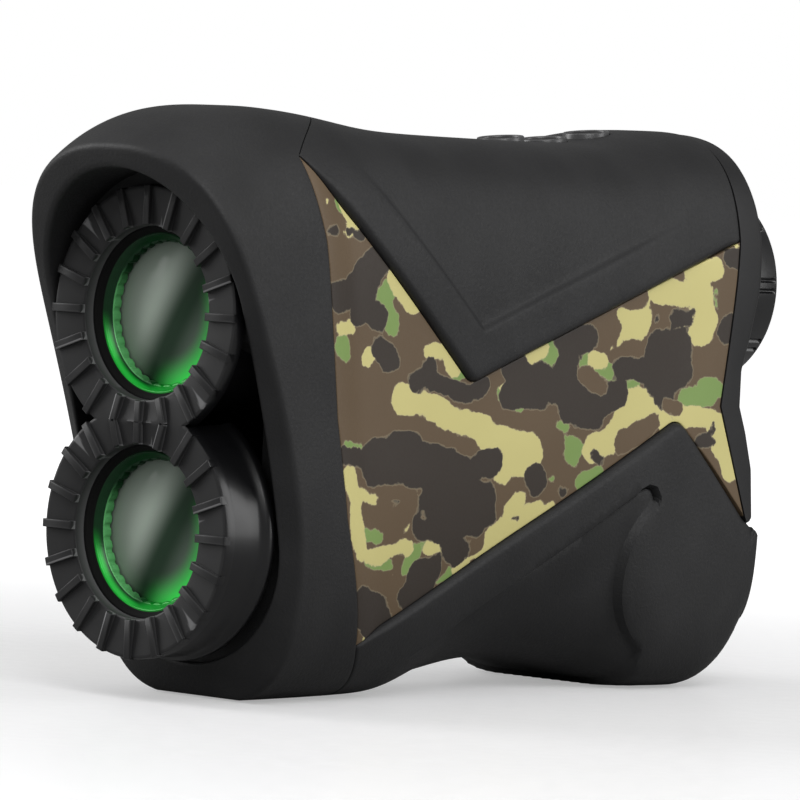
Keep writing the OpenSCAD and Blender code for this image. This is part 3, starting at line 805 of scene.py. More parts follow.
def retainer(z, name):
    """A cone whose inner edge is notched like a coin's."""
    notches, points_each = 36, 12
    a = turn(notches * points_each)
    wave = np.clip(np.cos(a * notches) * 1.9 - 0.7, -1, 1) * 0.5 + 0.5
    # radius, y and how deep the notches are there
    profile = [
        (11.0, 2.45, 0), (10.8, 2.45, 0), (10.66, 2.55, 0), (10.2, 3.35, 0), (10.12, 3.4, 0),
        (10.06, 3.3, 0), (9.9, 3.4, 0), (9.5, 4.15, 0), (9.34, 4.32, 0), (9.3, 4.36, 0),
        (9.08, 4.36, 0.24), (9.05, 4.42, 0.25), (9.08, 5.45, 0.25), (11.0, 5.5, 0),
    ]
    rows = [ring_round_y(a, r + wave * depth, y, z) for r, y, depth in profile]
    return new_mesh(name, *grid(rows, close_rows=True), sharp=50)


def lens_at(name, z, y0, y1, front_curve, back_curve, r=10.0):
    """A lens whose object sits at its own centre, so its coating and painted light can be shaded from
    there.
    """
    def sag(q, curve):
        return curve - math.sqrt(curve * curve - q * q)

    steps, thick, bevel = 128, y1 - y0, 0.15
    radii = np.linspace(0.02, r, 26)
    rows = [(q, sag(q, front_curve)) for q in radii] + [(r + 0.02, sag(r, front_curve) + bevel)]
    rows += [(r + 0.02, thick - sag(r, back_curve) - bevel)]
    rows += [(q, thick - sag(q, back_curve)) for q in radii[::-1]]
    verts, faces = lathe(rows, 0, steps, close=False)
    faces += [tuple(range(steps)), tuple(range(len(verts) - steps, len(verts)))]
    verts[:, 1] -= BEZEL_Y / MM
    obj = new_mesh(name, verts, faces, sharp=40)
    obj.location = (0, BEZEL_Y + y0 * MM, z * MM)
    return obj


# ---------------------------------------------------------------- buttons
def roof_at(y):
    """The roof's height at one place."""
    return float(roof(np.float64(y)))


def turned_up(profile, y, z, close):
    """Turns [radius, height] points round an upright axis. What shows of them leans to the front."""
    a = turn(72)
    rows = []
    for r, h in profile:
        shows = z + h > roof_at(y) - SKIN
        lean = BUTTON_LEAN * r * np.sin(a) * shows
        rows.append(np.stack([r * np.cos(a), y + r * np.sin(a), z + h + lean], 1))
    return grid(rows, close_rows=close, cap=not close)


def button_bezels():
    """A thin raised rim round each button."""
    profile = [
        (3.2, -1.6), (3.2, 0.34), (3.16, 0.45), (3.06, 0.52), (2.95, 0.52), (2.85, 0.45), (2.81, 0.34),
        (2.81, -1.6),
    ]
    return join_parts("button_rims", [turned_up(profile, y, roof_at(y), True) for y in BUTTON_Y], sharp=70)


def button(name, node, y):
    """A cap with a flange that holds it under the roof, and a stem that reaches its switch."""
    bottom, top = [corner[2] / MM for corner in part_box(node)]
    flange = bottom_of_flange(y)
    profile = [
        (0.6, bottom), (1.3, bottom), (1.3, flange), (3.2, flange), (3.4, flange + 0.15),
        (3.4, flange + 0.7), (2.5, flange + 0.8), (2.48, top - 0.35), (2.42, top - 0.12), (2.25, top),
        (2.02, top - 0.02), (1.85, top - 0.14), (1.55, top - 0.24), (0.9, top - 0.27), (0.02, top - 0.27),
    ]
    return new_mesh(name, *turned_up(profile, y, 0, False), sharp=40)


def bottom_of_flange(y):
    """The rear button's flange lies deeper than the others."""
    drop = 1.0 if y > BUTTON_Y[1] + 1 else 0.35
    return roof_at(y) - SKIN - 2.0 - drop - 0.8


# ---------------------------------------------------------------- eyepiece
def focusing_ring():
    """A ring with a pair of grooves along it at every tenth of a turn."""
    a = turn(1080)
    low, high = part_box("focusing_ring")
    outer = (high[0] - low[0]) / 2 / MM + 0.5
    pitch, beside_middle, half_wide, depth = 36, 3.0, 1.35, 0.42
    phase = (np.degrees(a) - 1.5 + pitch / 2) % pitch - pitch / 2
    groove = np.clip(half_wide - np.abs(np.abs(phase) - beside_middle), 0, 1) ** 0.7 * depth
    # radius, y and how much of the grooves is cut there
    profile = [
        (EYE_BORE, 98.25, 0), (13.5, 98.25, 0), (13.8, 98.4, 1), (outer - 0.06, 98.75, 1), (outer, 99.0, 1),
        (outer, 109.5, 1), (outer, 109.7, 0.5), (outer, 109.85, 0), (outer, 110.0, 0),
        (outer - 0.06, 110.2, 0), (outer - 0.2, 110.33, 0), (outer - 0.5, 110.38, 0), (13.2, 110.36, 0),
        (13.05, 110.2, 0), (13.0, 108.6, 0), (11.0, 108.56, 0), (9.45, 107.2, 0), (9.45, 106.95, 0),
        (EYE_BORE, 106.9, 0),
    ]
    rows = [ring_round_y(a, r - groove * cut, y, EYE_Z) for r, y, cut in profile]
    return new_mesh("grooved_ring", *grid(rows, close_rows=True), sharp=32)


def eyecup():
    """A soft ring inside the focusing ring's mouth."""
    profile = [
        (11.02, 108.64), (12.6, 108.64), (12.84, 108.76), (12.9, 109.0), (12.92, 109.9), (12.86, 110.4),
        (12.7, 110.6), (12.4, 110.68), (12.0, 110.66), (11.3, 110.62), (10.9, 110.4), (10.68, 109.95),
        (10.64, 109.5), (10.8, 108.9),
    ]
    return new_mesh("rubber_eyecup", *lathe(profile, EYE_Z, steps=160), sharp=60)


# ---------------------------------------------------------------- battery and door
def battery_door():
    """A round-edged door with finger ridges, its hinge barrel, and the tongue that snaps shut."""
    half, low, high = 17.95, 5.35, 21.25
    loop = rounded([(-half, low), (half, low), (half, high), (-half, high)], (7.2, 7.2, 2.2, 2.2))
    loop = resample(loop, 0.6, closed=True)
    flat, tris = fill([loop], 0.9, (0.05, 0.15, 0.35, 0.6, 0.9, 1.3, 1.7))
    d, _ = edge_distance(flat, [loop])
    back = 102.98 - round_over(d, 1.7) * 0.95
    x, z = flat.T
    for ridge_z in (17.2, 15.9, 14.6, 13.3):
        back -= 0.22 * bump(z, ridge_z, 0.32) * (1 - smooth(np.abs(x), 4.5, 6))
    parts = [slab(np.stack([x, back, z], 1), np.stack([x, 0 * x + 100.92, z], 1), tris),
             rod_x(-7, 7, *HINGE, 1.48, bore=0.8),
             block(-7, 7, 101.0, 102.45, 3.7, 6.5, 0.2), block(-3, 3, 98.65, 101, 20.25, 21.0, 0.2)]
    return join_parts("battery_hatch", parts)


def battery():
    """A cell across the case, with a rolled crimp at one end and a raised contact at the other."""
    x0, x1 = [corner[0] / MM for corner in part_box("battery_cell")]
    _, y, z = centre("battery_cell")
    profile = [
        (x0, 0.02), (x0, 6.6), (x0 + 0.15, 7.0), (x0 + 0.1, 7.45), (x0 + 0.35, 7.75), (x0 + 0.8, 7.79),
        (x1 - 1.6, 7.79), (x1 - 1.1, 7.7), (x1 - 0.75, 7.4), (x1 - 0.72, 6.9), (x1 - 0.85, 6.6),
        (x1 - 0.85, 3.3), (x1 - 0.7, 3.05), (x1 - 0.15, 2.95), (x1, 2.7), (x1, 0.02),
    ]
    return new_mesh("battery_body", *lathe_x(profile, y, z, 96, cap=True))


# ---------------------------------------------------------------- camouflage print
# Strokes on the +X side in millimetres: half width, then the y and z of each point.
CAMOUFLAGE = {
    "camo_green": [
        (1.2, 16.4, 63.4, 17.3, 64.6), (1.6, 23, 51.4, 25.2, 52.8), (1.3, 25.6, 50, 26.4, 48.6),
        (1.5, 16.4, 46, 17.2, 45), (0.5, 18, 33.4, 21.6, 33.1), (0.9, 23.4, 21.7, 26.4, 21.3),
        (0.7, 23.6, 18.8, 29.2, 18), (1.3, 33, 17.4, 34, 19.4), (0.5, 32.3, 14.3, 33, 14.7),
        (0.7, 39.6, 15.3, 41.8, 16.5), (0.8, 39.4, 42.4, 40.6, 42.9), (1.1, 48.6, 39.8, 52, 38.6),
        (1.5, 53, 44.4, 58, 44.4, 60.2, 44.2), (1.3, 58, 46.4, 60.6, 47.4), (1.3, 64.6, 44.2, 69.4, 43.4),
        (1, 69.8, 42.6, 70.4, 42), (0.6, 60.2, 35.9, 61.6, 35.5), (0.9, 62.6, 33.6, 64.6, 33),
        (1.1, 62.8, 31.8, 63.6, 31.4), (0.7, 59.2, 28.8, 59.6, 28.7), (0.8, 65, 28.5, 68.6, 29.7),
        (0.7, 73, 41, 75.2, 41.3), (1.5, 85.6, 39.3, 90, 39.8), (1.2, 88.8, 41.2, 91.6, 40.8),
        (0.6, 90, 54, 90.4, 52), (0.5, 78.2, 46.3, 79, 47), (0.5, 36.3, 20.7, 37, 20.2),
    ],
    "camo_khaki": [
        (1.5, 17.6, 63.6, 19.2, 61.6), (1, 20, 61.8, 17.4, 60.4), (0.55, 13.6, 63.5, 14, 64.1),
        (1.35, 26.6, 55, 28, 53, 30.6, 51.4), (0.55, 19.6, 50, 20.1, 50), (0.85, 15.8, 48, 18.2, 48.4),
        (0.8, 21.4, 44, 22.2, 44.9), (0.85, 33.6, 45.4, 36.6, 45.6, 38.9, 43),
        (1.75, 29, 39.2, 33, 38.8, 37, 37.6), (1.6, 37, 37.6, 41, 36.2, 46, 35.4),
        (2.2, 46, 34.6, 50, 33.2), (3, 50.4, 32.2, 54.4, 31.8), (1, 47, 29.6, 50.6, 29.2),
        (1.4, 19, 29.4, 20.4, 26.4, 21.2, 22.6, 22.8, 19.8), (0.8, 21.6, 27, 25, 26.3),
        (1.1, 23, 19.5, 27, 19.2, 31, 20.4, 32.4, 20), (0.75, 31.2, 22.4, 32.2, 23),
        (0.75, 36.6, 19.9, 40, 20.4), (0.4, 35.6, 19.8, 37, 20), (0.9, 43, 17.2, 46, 18.6, 49, 19),
        (1.9, 49.4, 20.6, 53, 22.4, 57, 24.2), (1.4, 52.8, 24.6, 53.8, 26), (0.8, 56, 23.6, 60, 25.2),
        (0.5, 44.4, 28.3, 45.6, 27.7), (0.8, 48.8, 40.4, 50.6, 41), (1.3, 54, 44.9, 56, 46),
        (1.1, 66.4, 44.6, 68.6, 44.5), (0.95, 71.4, 50.5, 74, 50.4, 77, 50.6), (1.7, 73.6, 49, 76, 49.2),
        (0.4, 70.9, 47, 72, 48), (0.6, 76.6, 51.4, 77.4, 50), (1.7, 78.4, 54.2, 82, 53.8, 88, 53.2),
        (1.8, 86, 56.4, 90, 57.2), (2.2, 87.2, 55, 88.4, 50.4, 88, 48.8), (1, 84.6, 49, 87, 48.2),
        (1.9, 67, 32.6, 70, 33.8, 73, 36.2), (2.5, 73.4, 37, 76.4, 38.6, 78.4, 38.4),
        (1.3, 79, 37.8, 82, 36), (1.5, 84.4, 36.9, 90, 37.1), (1.9, 91, 36.4, 92.6, 33, 94.8, 30.4),
        (0.4, 69.9, 46.3, 70.2, 46.4), (0.3, 92.8, 46.7, 93, 46.8), (0.35, 95.4, 60.4, 94.4, 60.3),
        (0.35, 25.8, 10, 27, 7.8), (0.3, 36.7, 24.8, 36.9, 24.9), (0.3, 40.6, 25.5, 40.7, 25.6),
    ],
    "camo_dark": [
        (2.2, 15, 52.2, 19, 53, 23, 56.4, 24.8, 57.4), (1.7, 20.6, 50, 24, 49.4), (2.1, 21, 53, 20, 50),
        (1.9, 24.2, 45.4, 25.6, 44.4), (1.3, 25, 45, 26.8, 43.8), (1.5, 31.2, 41.4, 34.2, 43.4),
        (1.3, 34, 41.9, 38, 40.9, 42, 39.9, 45, 40.8), (1.2, 17.6, 32.2, 21, 31.6),
        (3, 24.4, 31, 30, 31.2, 36, 30.4, 42, 29), (2.1, 28.6, 33, 31.4, 33),
        (3.4, 37, 26, 42, 25.6, 46, 25), (2.8, 36, 23.2, 40.6, 22.6), (1.7, 45, 30.8, 48, 31.2),
        (1.4, 47, 23.6, 48.6, 23.8), (1.9, 41, 19.9, 42.6, 19), (1.8, 35, 16.6, 38, 17.4),
        (1.8, 34, 13.6, 37, 15), (2.6, 24.6, 13, 28, 11, 30, 9.6), (2.2, 60.4, 47, 64.8, 47.4),
        (2, 61.6, 44.8, 60, 43), (2.4, 50.6, 43.4, 53, 41.8, 57, 42, 62, 40.2),
        (2.2, 62, 39.8, 66.4, 38.4, 70, 39.8, 72.2, 40.2), (1.8, 61.6, 37.8, 67, 36.8), (2, 50, 40, 56, 40),
        (1.7, 72, 43.4, 77, 43.2), (3.2, 80, 45.6, 83.4, 46), (3, 80, 42.4, 83.8, 43.4),
        (1.9, 80.6, 40.4, 81.4, 40), (1.1, 82.4, 50.6, 85.4, 50.4), (0.5, 79, 50.4, 79.2, 50.4),
        (0.5, 85.6, 51.2, 86.4, 51.2), (1.8, 92.6, 49, 95.2, 49.6), (1.3, 93, 58.8, 95.4, 58.6),
        (1.6, 55.8, 29.6, 56.8, 28.2), (0.75, 61.8, 27.2, 62, 27.1), (0.75, 67.4, 32, 68.8, 31.2),
        (0.65, 53.1, 23.5, 53.4, 23.6), (0.65, 90.7, 35.7, 91.2, 35.7), (0.8, 89, 34, 90.8, 33.8),
        (0.55, 13.4, 60.2, 15, 60.3), (0.65, 18.2, 60, 20.6, 59.9), (0.25, 30.2, 16.5, 30.3, 16.5),
        (0.4, 28.4, 26, 29.6, 26),
    ],
    "camo_brown": [
        (1.4, 64.2, 42.4, 68.2, 41), (1.5, 73, 33.4, 77, 35.4, 79, 36.6), (0.9, 81.4, 38.6, 84, 38),
        (0.5, 34.4, 24.4, 35, 24.2),
    ],
}


def print_camouflage(panel):
    """Stores how far each vertex is from the strokes of each colour, below zero inside them."""
    mesh = panel.data
    co = np.empty(len(mesh.vertices) * 3)
    mesh.vertices.foreach_get("co", co)
    y, z = (co[1::3] - BEZEL_Y) / MM, co[2::3] / MM
    for name, strokes in CAMOUFLAGE.items():
        field = np.full(len(y), 99.0)
        for half, *places in strokes:
            points = list(zip(places[::2], places[1::2]))
            for a, b in zip(points[:-1], points[1:]):
                field = np.minimum(field, segment_distance(y, z, a, b) - half)
        mesh.attributes.new(name, "FLOAT", "POINT").data.foreach_set("value", field)


# ---------------------------------------------------------------- materials
def rgb(r, g, b):
    return (r, g, b, 1.0)


def grey(level, blue=0.0005):
    """A grey with a touch more blue."""
    return rgb(level, level, level + blue)


class Shading:
    """Adds nodes to one tree. Their inputs are constants or other nodes' outputs."""

    def __init__(self, tree):
        self.tree = tree

    def plug(self, socket, value):
        if isinstance(value, bpy.types.NodeSocket):
            self.tree.links.new(value, socket)
        else:
            socket.default_value = value

    def node(self, kind, inputs=None, **settings):
        made = self.tree.nodes.new("ShaderNode" + kind)
        for key, value in settings.items():
            setattr(made, key, value)
        for key, value in (inputs or {}).items():
            self.plug(made.inputs[key], value)
        return made

    def math(self, operation, a, b=0.0, clamp=False):
        return self.node("Math", {0: a, 1: b}, operation=operation, use_clamp=clamp).outputs[0]

    def plus(self, a, b):
        return self.math("ADD", a, b)

    def times(self, a, b):
        return self.math("MULTIPLY", a, b)

    def ranged(self, value, low, high, to_low=0.0, to_high=1.0, kind="SMOOTHSTEP"):
        """Maps low..high to to_low..to_high, and stops at both ends."""
        inputs = {"Value": value, "From Min": low, "From Max": high, "To Min": to_low, "To Max": to_high}
        return self.node("MapRange", inputs, interpolation_type=kind, clamp=True).outputs[0]

    def blend(self, factor, a, b):
        """Colour a where the factor is 0 and b where it is 1."""
        return self.node("Mix", {0: factor, 6: a, 7: b}, data_type="RGBA").outputs[2]


class Finish(Shading):
    """A material whose patterns are counted from the object's own origin."""

    def __init__(self, name, **inputs):
        self.material = bpy.data.materials.new(name)
        self.material.use_nodes = True
        super().__init__(self.material.node_tree)
        self.surface = self.tree.nodes["Principled BSDF"]
        self.at = self.node("TexCoord").outputs["Object"]
        self.finish(**inputs)

    def finish(self, **inputs):
        """Sets inputs of the surface, with _ for a space in their names, and gives the material."""
        for key, value in inputs.items():
            self.plug(self.surface.inputs[key.replace("_", " ")], value)
        return self.material

    def noise(self, size, detail, rough=0.5):
        """Noise whose features are about size millimetres across."""
        inputs = {"Vector": self.at, "Scale": 1 / (size * MM), "Detail": detail, "Roughness": rough}
        return self.node("TexNoise", inputs).outputs["Fac"]

    def uneven(self, pattern, rough, rougher, low=0.3, high=0.7):
        """A roughness between two values that follows a pattern."""
        return self.ranged(pattern, low, high, rough, rougher, "LINEAR")

    def relief(self, height, depth, strength):
        """A bump of the given depth in millimetres."""
        inputs = {"Height": height, "Distance": depth * MM, "Strength": strength}
        return self.node("Bump", inputs).outputs[0]

    def tool_marks(self, **inputs):
        """Fine bands across the object's Y axis."""
        inputs = {key.replace("_", " "): value for key, value in inputs.items()}
        return self.node("TexWave", {"Vector": self.at, **inputs}, bands_direction="Y").outputs["Fac"]

    def axis_radius(self):
        """Distance from the object's Y axis, in millimetres."""
        flat = self.node("VectorMath", {0: self.at, 1: (1.0, 0.0, 1.0)}, operation="MULTIPLY").outputs[0]
        length = self.node("VectorMath", {0: flat}, operation="LENGTH").outputs["Value"]
        return self.math("DIVIDE", length, MM)

    def towards(self, x, z, low, high):
        """1 on the side of the Y axis that lies towards (x, z), from low to high millimetres off it."""
        split = self.node("SeparateXYZ", {0: self.at}).outputs
        return self.ranged(self.plus(self.times(split[0], x / MM), self.times(split[2], z / MM)), low, high)


def grained(name, dark, light, rough, grain, depth, specular=0.5, painted_edge_highlight=None):
    """Matt plastic or rubber: fine moulded grain, faint unevenness, and a painted highlight on sharp edges
    if wanted.
    """
    made = Finish(name, Specular_IOR_Level=specular)
    fine = made.noise(grain, 4, 0.6)
    colour = made.blend(made.ranged(made.noise(9, 2), 0.3, 0.7), dark, light)
    if painted_edge_highlight:
        # painted highlight: sharp convex edges are lightened as if they caught the light
        edges = made.ranged(made.node("NewGeometry").outputs["Pointiness"], 0.55, 0.62)
        colour = made.blend(edges, colour, painted_edge_highlight)
    return made.finish(Base_Color=colour, Normal=made.relief(fine, depth, 0.9),
                       Roughness=made.uneven(fine, rough - 0.07, rough + 0.07, 0.25, 0.75))


def camouflage_print():
    """Brown under layers of strokes, with ragged edges and a thin pale border along them."""
    made = Finish("camouflage_print", Specular_IOR_Level=0.2)
    ragged, wander, nibbled = [made.math("SUBTRACT", made.noise(*kind), 0.5)
                               for kind in ((2.6, 4, 0.62), (5.5, 1, 0.4), (1.1, 2, 0.5))]
    mottle = made.noise(14, 2)
    brown = (rgb(0.098, 0.067, 0.039), rgb(0.118, 0.082, 0.049))
    colour = made.blend(mottle, *brown)
    layers = (("camo_green", (rgb(0.16, 0.245, 0.07), rgb(0.2, 0.3, 0.095)), 1.0),
              ("camo_khaki", (rgb(0.49, 0.44, 0.18), rgb(0.55, 0.5, 0.21)), 1.0),
              ("camo_dark", (rgb(0.032, 0.025, 0.02), rgb(0.042, 0.034, 0.028)), -1.0),
              ("camo_brown", brown, 1.0))
    for name, shades, sign in layers:
        field = made.node("Attribute", attribute_name=name).outputs["Fac"]
        for pattern, amount in ((ragged, 1.5 * sign), (wander, 2.2 * sign), (nibbled, 0.5)):
            field = made.plus(field, made.times(pattern, amount))
        border = made.ranged(made.math("ABSOLUTE", field), 0.16, 0.06)
        colour = made.blend(made.ranged(field, 0.05, -0.05), colour, made.blend(mottle, *shades))
        colour = made.blend(made.times(border, 0.22), colour, rgb(0.42, 0.36, 0.24))
    fine = made.noise(0.35, 3, 0.6)
    return made.finish(Base_Color=colour, Roughness=made.uneven(fine, 0.42, 0.54),
                       Normal=made.relief(fine, 0.012, 0.7))


def polished(name, colour, rough):
    """Gloss black plastic with a thin coat and faint smears."""
    made = Finish(name, Base_Color=colour, Specular_IOR_Level=0.35, Coat_Weight=0.2, Coat_Roughness=0.16)
    return made.finish(Roughness=made.uneven(made.noise(6, 3), rough - 0.04, rough + 0.05),
                       Normal=made.relief(made.noise(1.6, 2), 0.004, 0.5))


def turned_metal(name, colour, rough, metallic=1.0):
    """Metal with fine tool marks and a faint tarnish."""
    made = Finish(name, Metallic=metallic)
    tarnish = made.noise(4, 3)
    dull = rgb(*(c * 0.72 for c in colour[:3]))
    marks = made.tool_marks(Scale=900.0, Distortion=2.0, Detail=2.0, Detail_Scale=3.0)
    return made.finish(Base_Color=made.blend(made.ranged(tarnish, 0.35, 0.7), colour, dull),
                       Roughness=made.uneven(tarnish, rough, rough + 0.12),
                       Normal=made.relief(marks, 0.006, 0.6))


def coated_lens_painted_light():
    """A dark green coated lens with painted light: a pale reflection at its upper left, a lighter tint at
    its lower right and a green glow at its lower outer edge.
    """
    made = Finish("coated_lens_painted_light", Roughness=0.3, Specular_IOR_Level=0.15, Coat_Weight=0.12,
                  Coat_Roughness=0.03, Coat_IOR=1.35, Emission_Strength=0.5)
    radius = made.axis_radius()
    # painted glow: bright green, also emitted, towards the lower outer edge
    rim = made.times(made.ranged(radius, 5.0, 9.2), made.towards(0.84, -0.54, 1.6, 8.4))
    # painted reflection: a pale haze towards the upper left
    painted_haze = made.times(made.towards(-0.86, 0.51, -1.6, 3.4), made.ranged(radius, 17, 1.0))
    body = made.blend(painted_haze, rgb(0.012, 0.032, 0.016), rgb(0.36, 0.42, 0.36))
    # painted light: a lighter tint towards the lower right
    body = made.blend(made.towards(0.86, -0.51, 2.6, 6.2), body, rgb(0.085, 0.115, 0.09))
    return made.finish(Base_Color=made.blend(rim, body, rgb(0.05, 0.62, 0.1)),
                       Emission_Color=made.blend(rim, grey(0, 0), rgb(0.008, 0.5, 0.035)),
                       Normal=made.relief(made.noise(7, 1), 0.002, 0.3))


def green_ring():
    """Black at its mouth, then dark green, with a painted green glow low down and a painted pale glint
    along its inner edge at the left.
    """
    made = Finish("green_ring", Metallic=0.2, Specular_IOR_Level=0.25, Emission_Strength=0.5)
    radius = made.axis_radius()
    inner = made.ranged(radius, 10.24, 10.16)
    # painted glow: a green band, also emitted, round the lower left and the bottom of the ring
    arc = made.times(made.ranged(radius, 9.42, 9.8), inner)
    low = made.times(made.towards(0.25, -0.97, 8.0, 9.4), 0.6)
    painted_glow = made.math("MAXIMUM", made.times(made.towards(-0.66, -0.75, 6.4, 9.9), arc), low)
    painted_glow = made.times(painted_glow, inner)
    # painted glint: a pale green line along the innermost edge at the left
    lip = made.times(made.ranged(radius, 9.4, 9.36), made.towards(-0.93, -0.36, 4.5, 8.4))
    base = made.blend(made.noise(1.2, 3), rgb(0.001, 0.022, 0.005), rgb(0.002, 0.038, 0.009))
    base = made.blend(inner, grey(0.0015, 0), base)
    lit = made.blend(painted_glow, base, rgb(0.008, 0.3, 0.03))
    return made.finish(Base_Color=made.blend(lip, lit, rgb(0.12, 0.45, 0.15)),
                       Emission_Color=made.blend(painted_glow, grey(0, 0), rgb(0.003, 0.24, 0.014)),
                       Roughness=made.ranged(inner, 0.0, 1.0, 0.85, 0.28),
                       Normal=made.relief(made.tool_marks(Scale=1400.0), 0.01, 0.6))


def clear_glass():
    made = Finish("clear_glass", Base_Color=rgb(0.78, 0.93, 0.84), IOR=1.55, Transmission_Weight=0.9,
                  Coat_Weight=0.3)
    return made.finish(Roughness=made.uneven(made.noise(5, 2), 0.01, 0.05, 0.3, 0.8))


def circuit_board():
    made = Finish("circuit_board", Roughness=0.35)
    look = {"Vector": made.at, "Scale": 420.0, "Mortar Size": 0.03, "Mortar": rgb(0.04, 0.24, 0.1),
            "Color1": rgb(0.012, 0.1, 0.04), "Color2": rgb(0.016, 0.125, 0.05)}
    tracks = made.node("TexBrick", look).outputs
    return made.finish(Base_Color=tracks["Color"], Normal=made.relief(tracks["Fac"], -0.03, 0.6))


def battery_sleeve():
    """A shrink sleeve in two plain colours between bare metal ends."""
    made = Finish("battery_sleeve")
    x = made.math("DIVIDE", made.node("SeparateXYZ", {0: made.at}).outputs[0], MM)
    ends = made.ranged(x, 12.45, 12.6), made.ranged(x, -13.3, -13.45)
    bare = made.math("ADD", *ends, clamp=True)
    wrap = made.blend(made.ranged(x, 6.9, 7.1), rgb(0.035, 0.037, 0.042), rgb(0.5, 0.36, 0.09))
    wrinkle = made.noise(2.2, 3)
    return made.finish(Base_Color=made.blend(bare, wrap, rgb(0.6, 0.6, 0.62)), Metallic=bare,
                       Roughness=made.uneven(wrinkle, 0.22, 0.34), Normal=made.relief(wrinkle, 0.02, 0.5))


def pale_floor():
    """Pale, with a painted shade round the object where it glows dimmer, plain white light further out, and
    a weak reflector for everything else.
    """
    made = Finish("pale_floor", Specular_IOR_Level=0.3, Emission_Color=rgb(1, 1, 1))
    away = made.node("VectorMath", {0: made.at}, operation="LENGTH").outputs["Value"]
    made.finish(Base_Color=made.blend(made.noise(260, 2), rgb(0.47, 0.47, 0.475), rgb(0.49, 0.49, 0.495)),
                Roughness=made.uneven(made.noise(3, 2), 0.32, 0.4),
                # painted shade: the floor glows dimmer near the object than further out
                Emission_Strength=made.ranged(away, 0.07, 0.36, 0.36, 0.8))
    dark = made.node("BsdfDiffuse", {"Color": rgb(0.3, 0.3, 0.3)}).outputs[0]
    seen = made.node("LightPath").outputs["Is Camera Ray"]
    both = made.node("MixShader", {0: seen, 1: dark, 2: made.surface.outputs[0]}).outputs[0]
    made.plug(made.tree.nodes["Material Output"].inputs["Surface"], both)
    return made.material


GRAINED = {
    # dark and light colour, roughness, grain's size and depth in mm, specular level, painted edge
    # highlight's colour
    "rubber": (grey(0.0105), grey(0.014), 0.55, 0.42, 0.06, 0.3),
    "moulded_black": (grey(0.009), grey(0.012), 0.46, 0.22, 0.012, 0.28),
    # its last colour is a painted highlight on the ribs' sharp edges
    "ribbed_black": (grey(0.016), grey(0.02), 0.42, 0.16, 0.006, 0.22, grey(0.13, 0.002)),
    "casing": (grey(0.035, 0.002), grey(0.048, 0.002), 0.55, 0.5, 0.02),
    # the button rims' light grey is a painted highlight along them
    "rim_painted_highlight": (grey(0.04, 0.001), grey(0.05, 0.001), 0.34, 0.16, 0.001),
    "seal_rubber": (grey(0.006, 0), grey(0.011, 0), 0.5, 0.8, 0.01),
}


def all_materials():
    """Every material under the name that the pieces ask for it by."""
    made = {name: grained(name, *look) for name, look in GRAINED.items()}
    made.update({
        "camouflage": camouflage_print(),
        "gloss_black": polished("gloss_black", grey(0.003), 0.33),
        "gloss_ring": polished("gloss_ring", grey(0.006), 0.2),
        "anodised": turned_metal("anodised", grey(0.014, 0.002), 0.38, 0.5),
        "brass": turned_metal("brass", rgb(0.6, 0.43, 0.19), 0.26),
        "steel": turned_metal("steel", rgb(0.56, 0.57, 0.59), 0.24),
        "green_ring": green_ring(),
        "coated_glass": coated_lens_painted_light(),
        "clear_glass": clear_glass(),
        "circuit_board": circuit_board(),
        "battery_sleeve": battery_sleeve(),
    })
    return made


# ---------------------------------------------------------------- assembly
def dress(obj, finish, look):
    """Gives a piece its finish's material, or another look's if one is named."""
    obj.data.materials.clear()
    obj.data.materials.append(MATERIALS[look or finish])


def place(obj, body, finish, *nodes, look=None):
    """Puts a piece on its body in place of the CAD nodes that it stands for."""
    dress(obj, finish, look)
    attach(obj, body)
    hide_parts(*nodes)


def centred(obj, z):
    """Moves an object's own origin to a lens axis, so that its shading is counted from there."""
    shift = Vector((0, 0, z * MM))
    obj.data.transform(Matrix.Translation(-shift))
    obj.location = shift
    return obj


def soften(name, finish, look=None, width=0.12):
    """Keeps a CAD node, welded, with its edges broken by a small bevel."""
    obj = frame["nodes"][name]
    dress(obj, finish, look)
    weld = obj.modifiers.new("weld", "WELD")
    weld.merge_threshold = 1e-6
    edge = obj.modifiers.new("broken_edges", "BEVEL")
    edge.width = width * MM
    edge.segments = 2
    edge.limit_method = "ANGLE"
    edge.angle_limit = math.radians(40)
    edge.harden_normals = True


def gloss_sides(bezel):
    """Polished black on the bezel's outer walls."""
    bezel.data.materials.append(MATERIALS["gloss_black"])
    for face in bezel.data.polygons:
        x, z = face.center.x / MM, face.center.z / MM
        from_axis = min(math.hypot(x, z - UPPER_Z), math.hypot(x, z - LOWER_Z))
        if abs(face.normal.y) < 0.6 and from_axis > RING_R - 0.5:
            face.material_index = 1


def build_case():
    place(front_hood(), "case", "rubber", "front_hood")
    for side, node in ((1, "side_panel_right"), (-1, "side_panel_left")):
        panel = side_panel(side)
        print_camouflage(panel)
        place(panel, "case", "camouflage", node)
    place(top_grip(), "case", "rubber", "top_grip")
    place(bottom_grip(), "case", "rubber", "bottom_grip")
    place(rear_frame(), "case", "moulded_black", "rear_frame")
    bezel = lens_bezel()
    place(bezel, "case", "moulded_black", "lens_bezel", look="ribbed_black")
    gloss_sides(bezel)
    place(lower_barrel(), "case", "gloss_black", "lower_barrel")
    place(button_bezels(), "case", "gloss_black", "button_bezels", look="rim_painted_highlight")
    place(battery(), "case", "battery_sleeve", "battery_cell")


def build_optics():
    for z, part in ((UPPER_Z, "objective"), (LOWER_Z, "laser")):
        place(centred(retainer(z, f"{part}_notched_ring"), z), "case", "green_ring", f"{part}_retainer")
        place(lens_at(f"{part}_coated_lens_painted_light", z, 4.8, 10.4, 48, 90), "case", "coated_glass", f"{part}_lens")
    for part, *shape in (("outer", 98.6, 103.5, 40, 22), ("inner", 89.7, 94.1, 60, 40)):
        lens = lens_at(f"eyepiece_{part}_lens", EYE_Z, *shape, r=9.15)
        place(lens, "ocular", "coated_glass", "eyepiece_lenses")


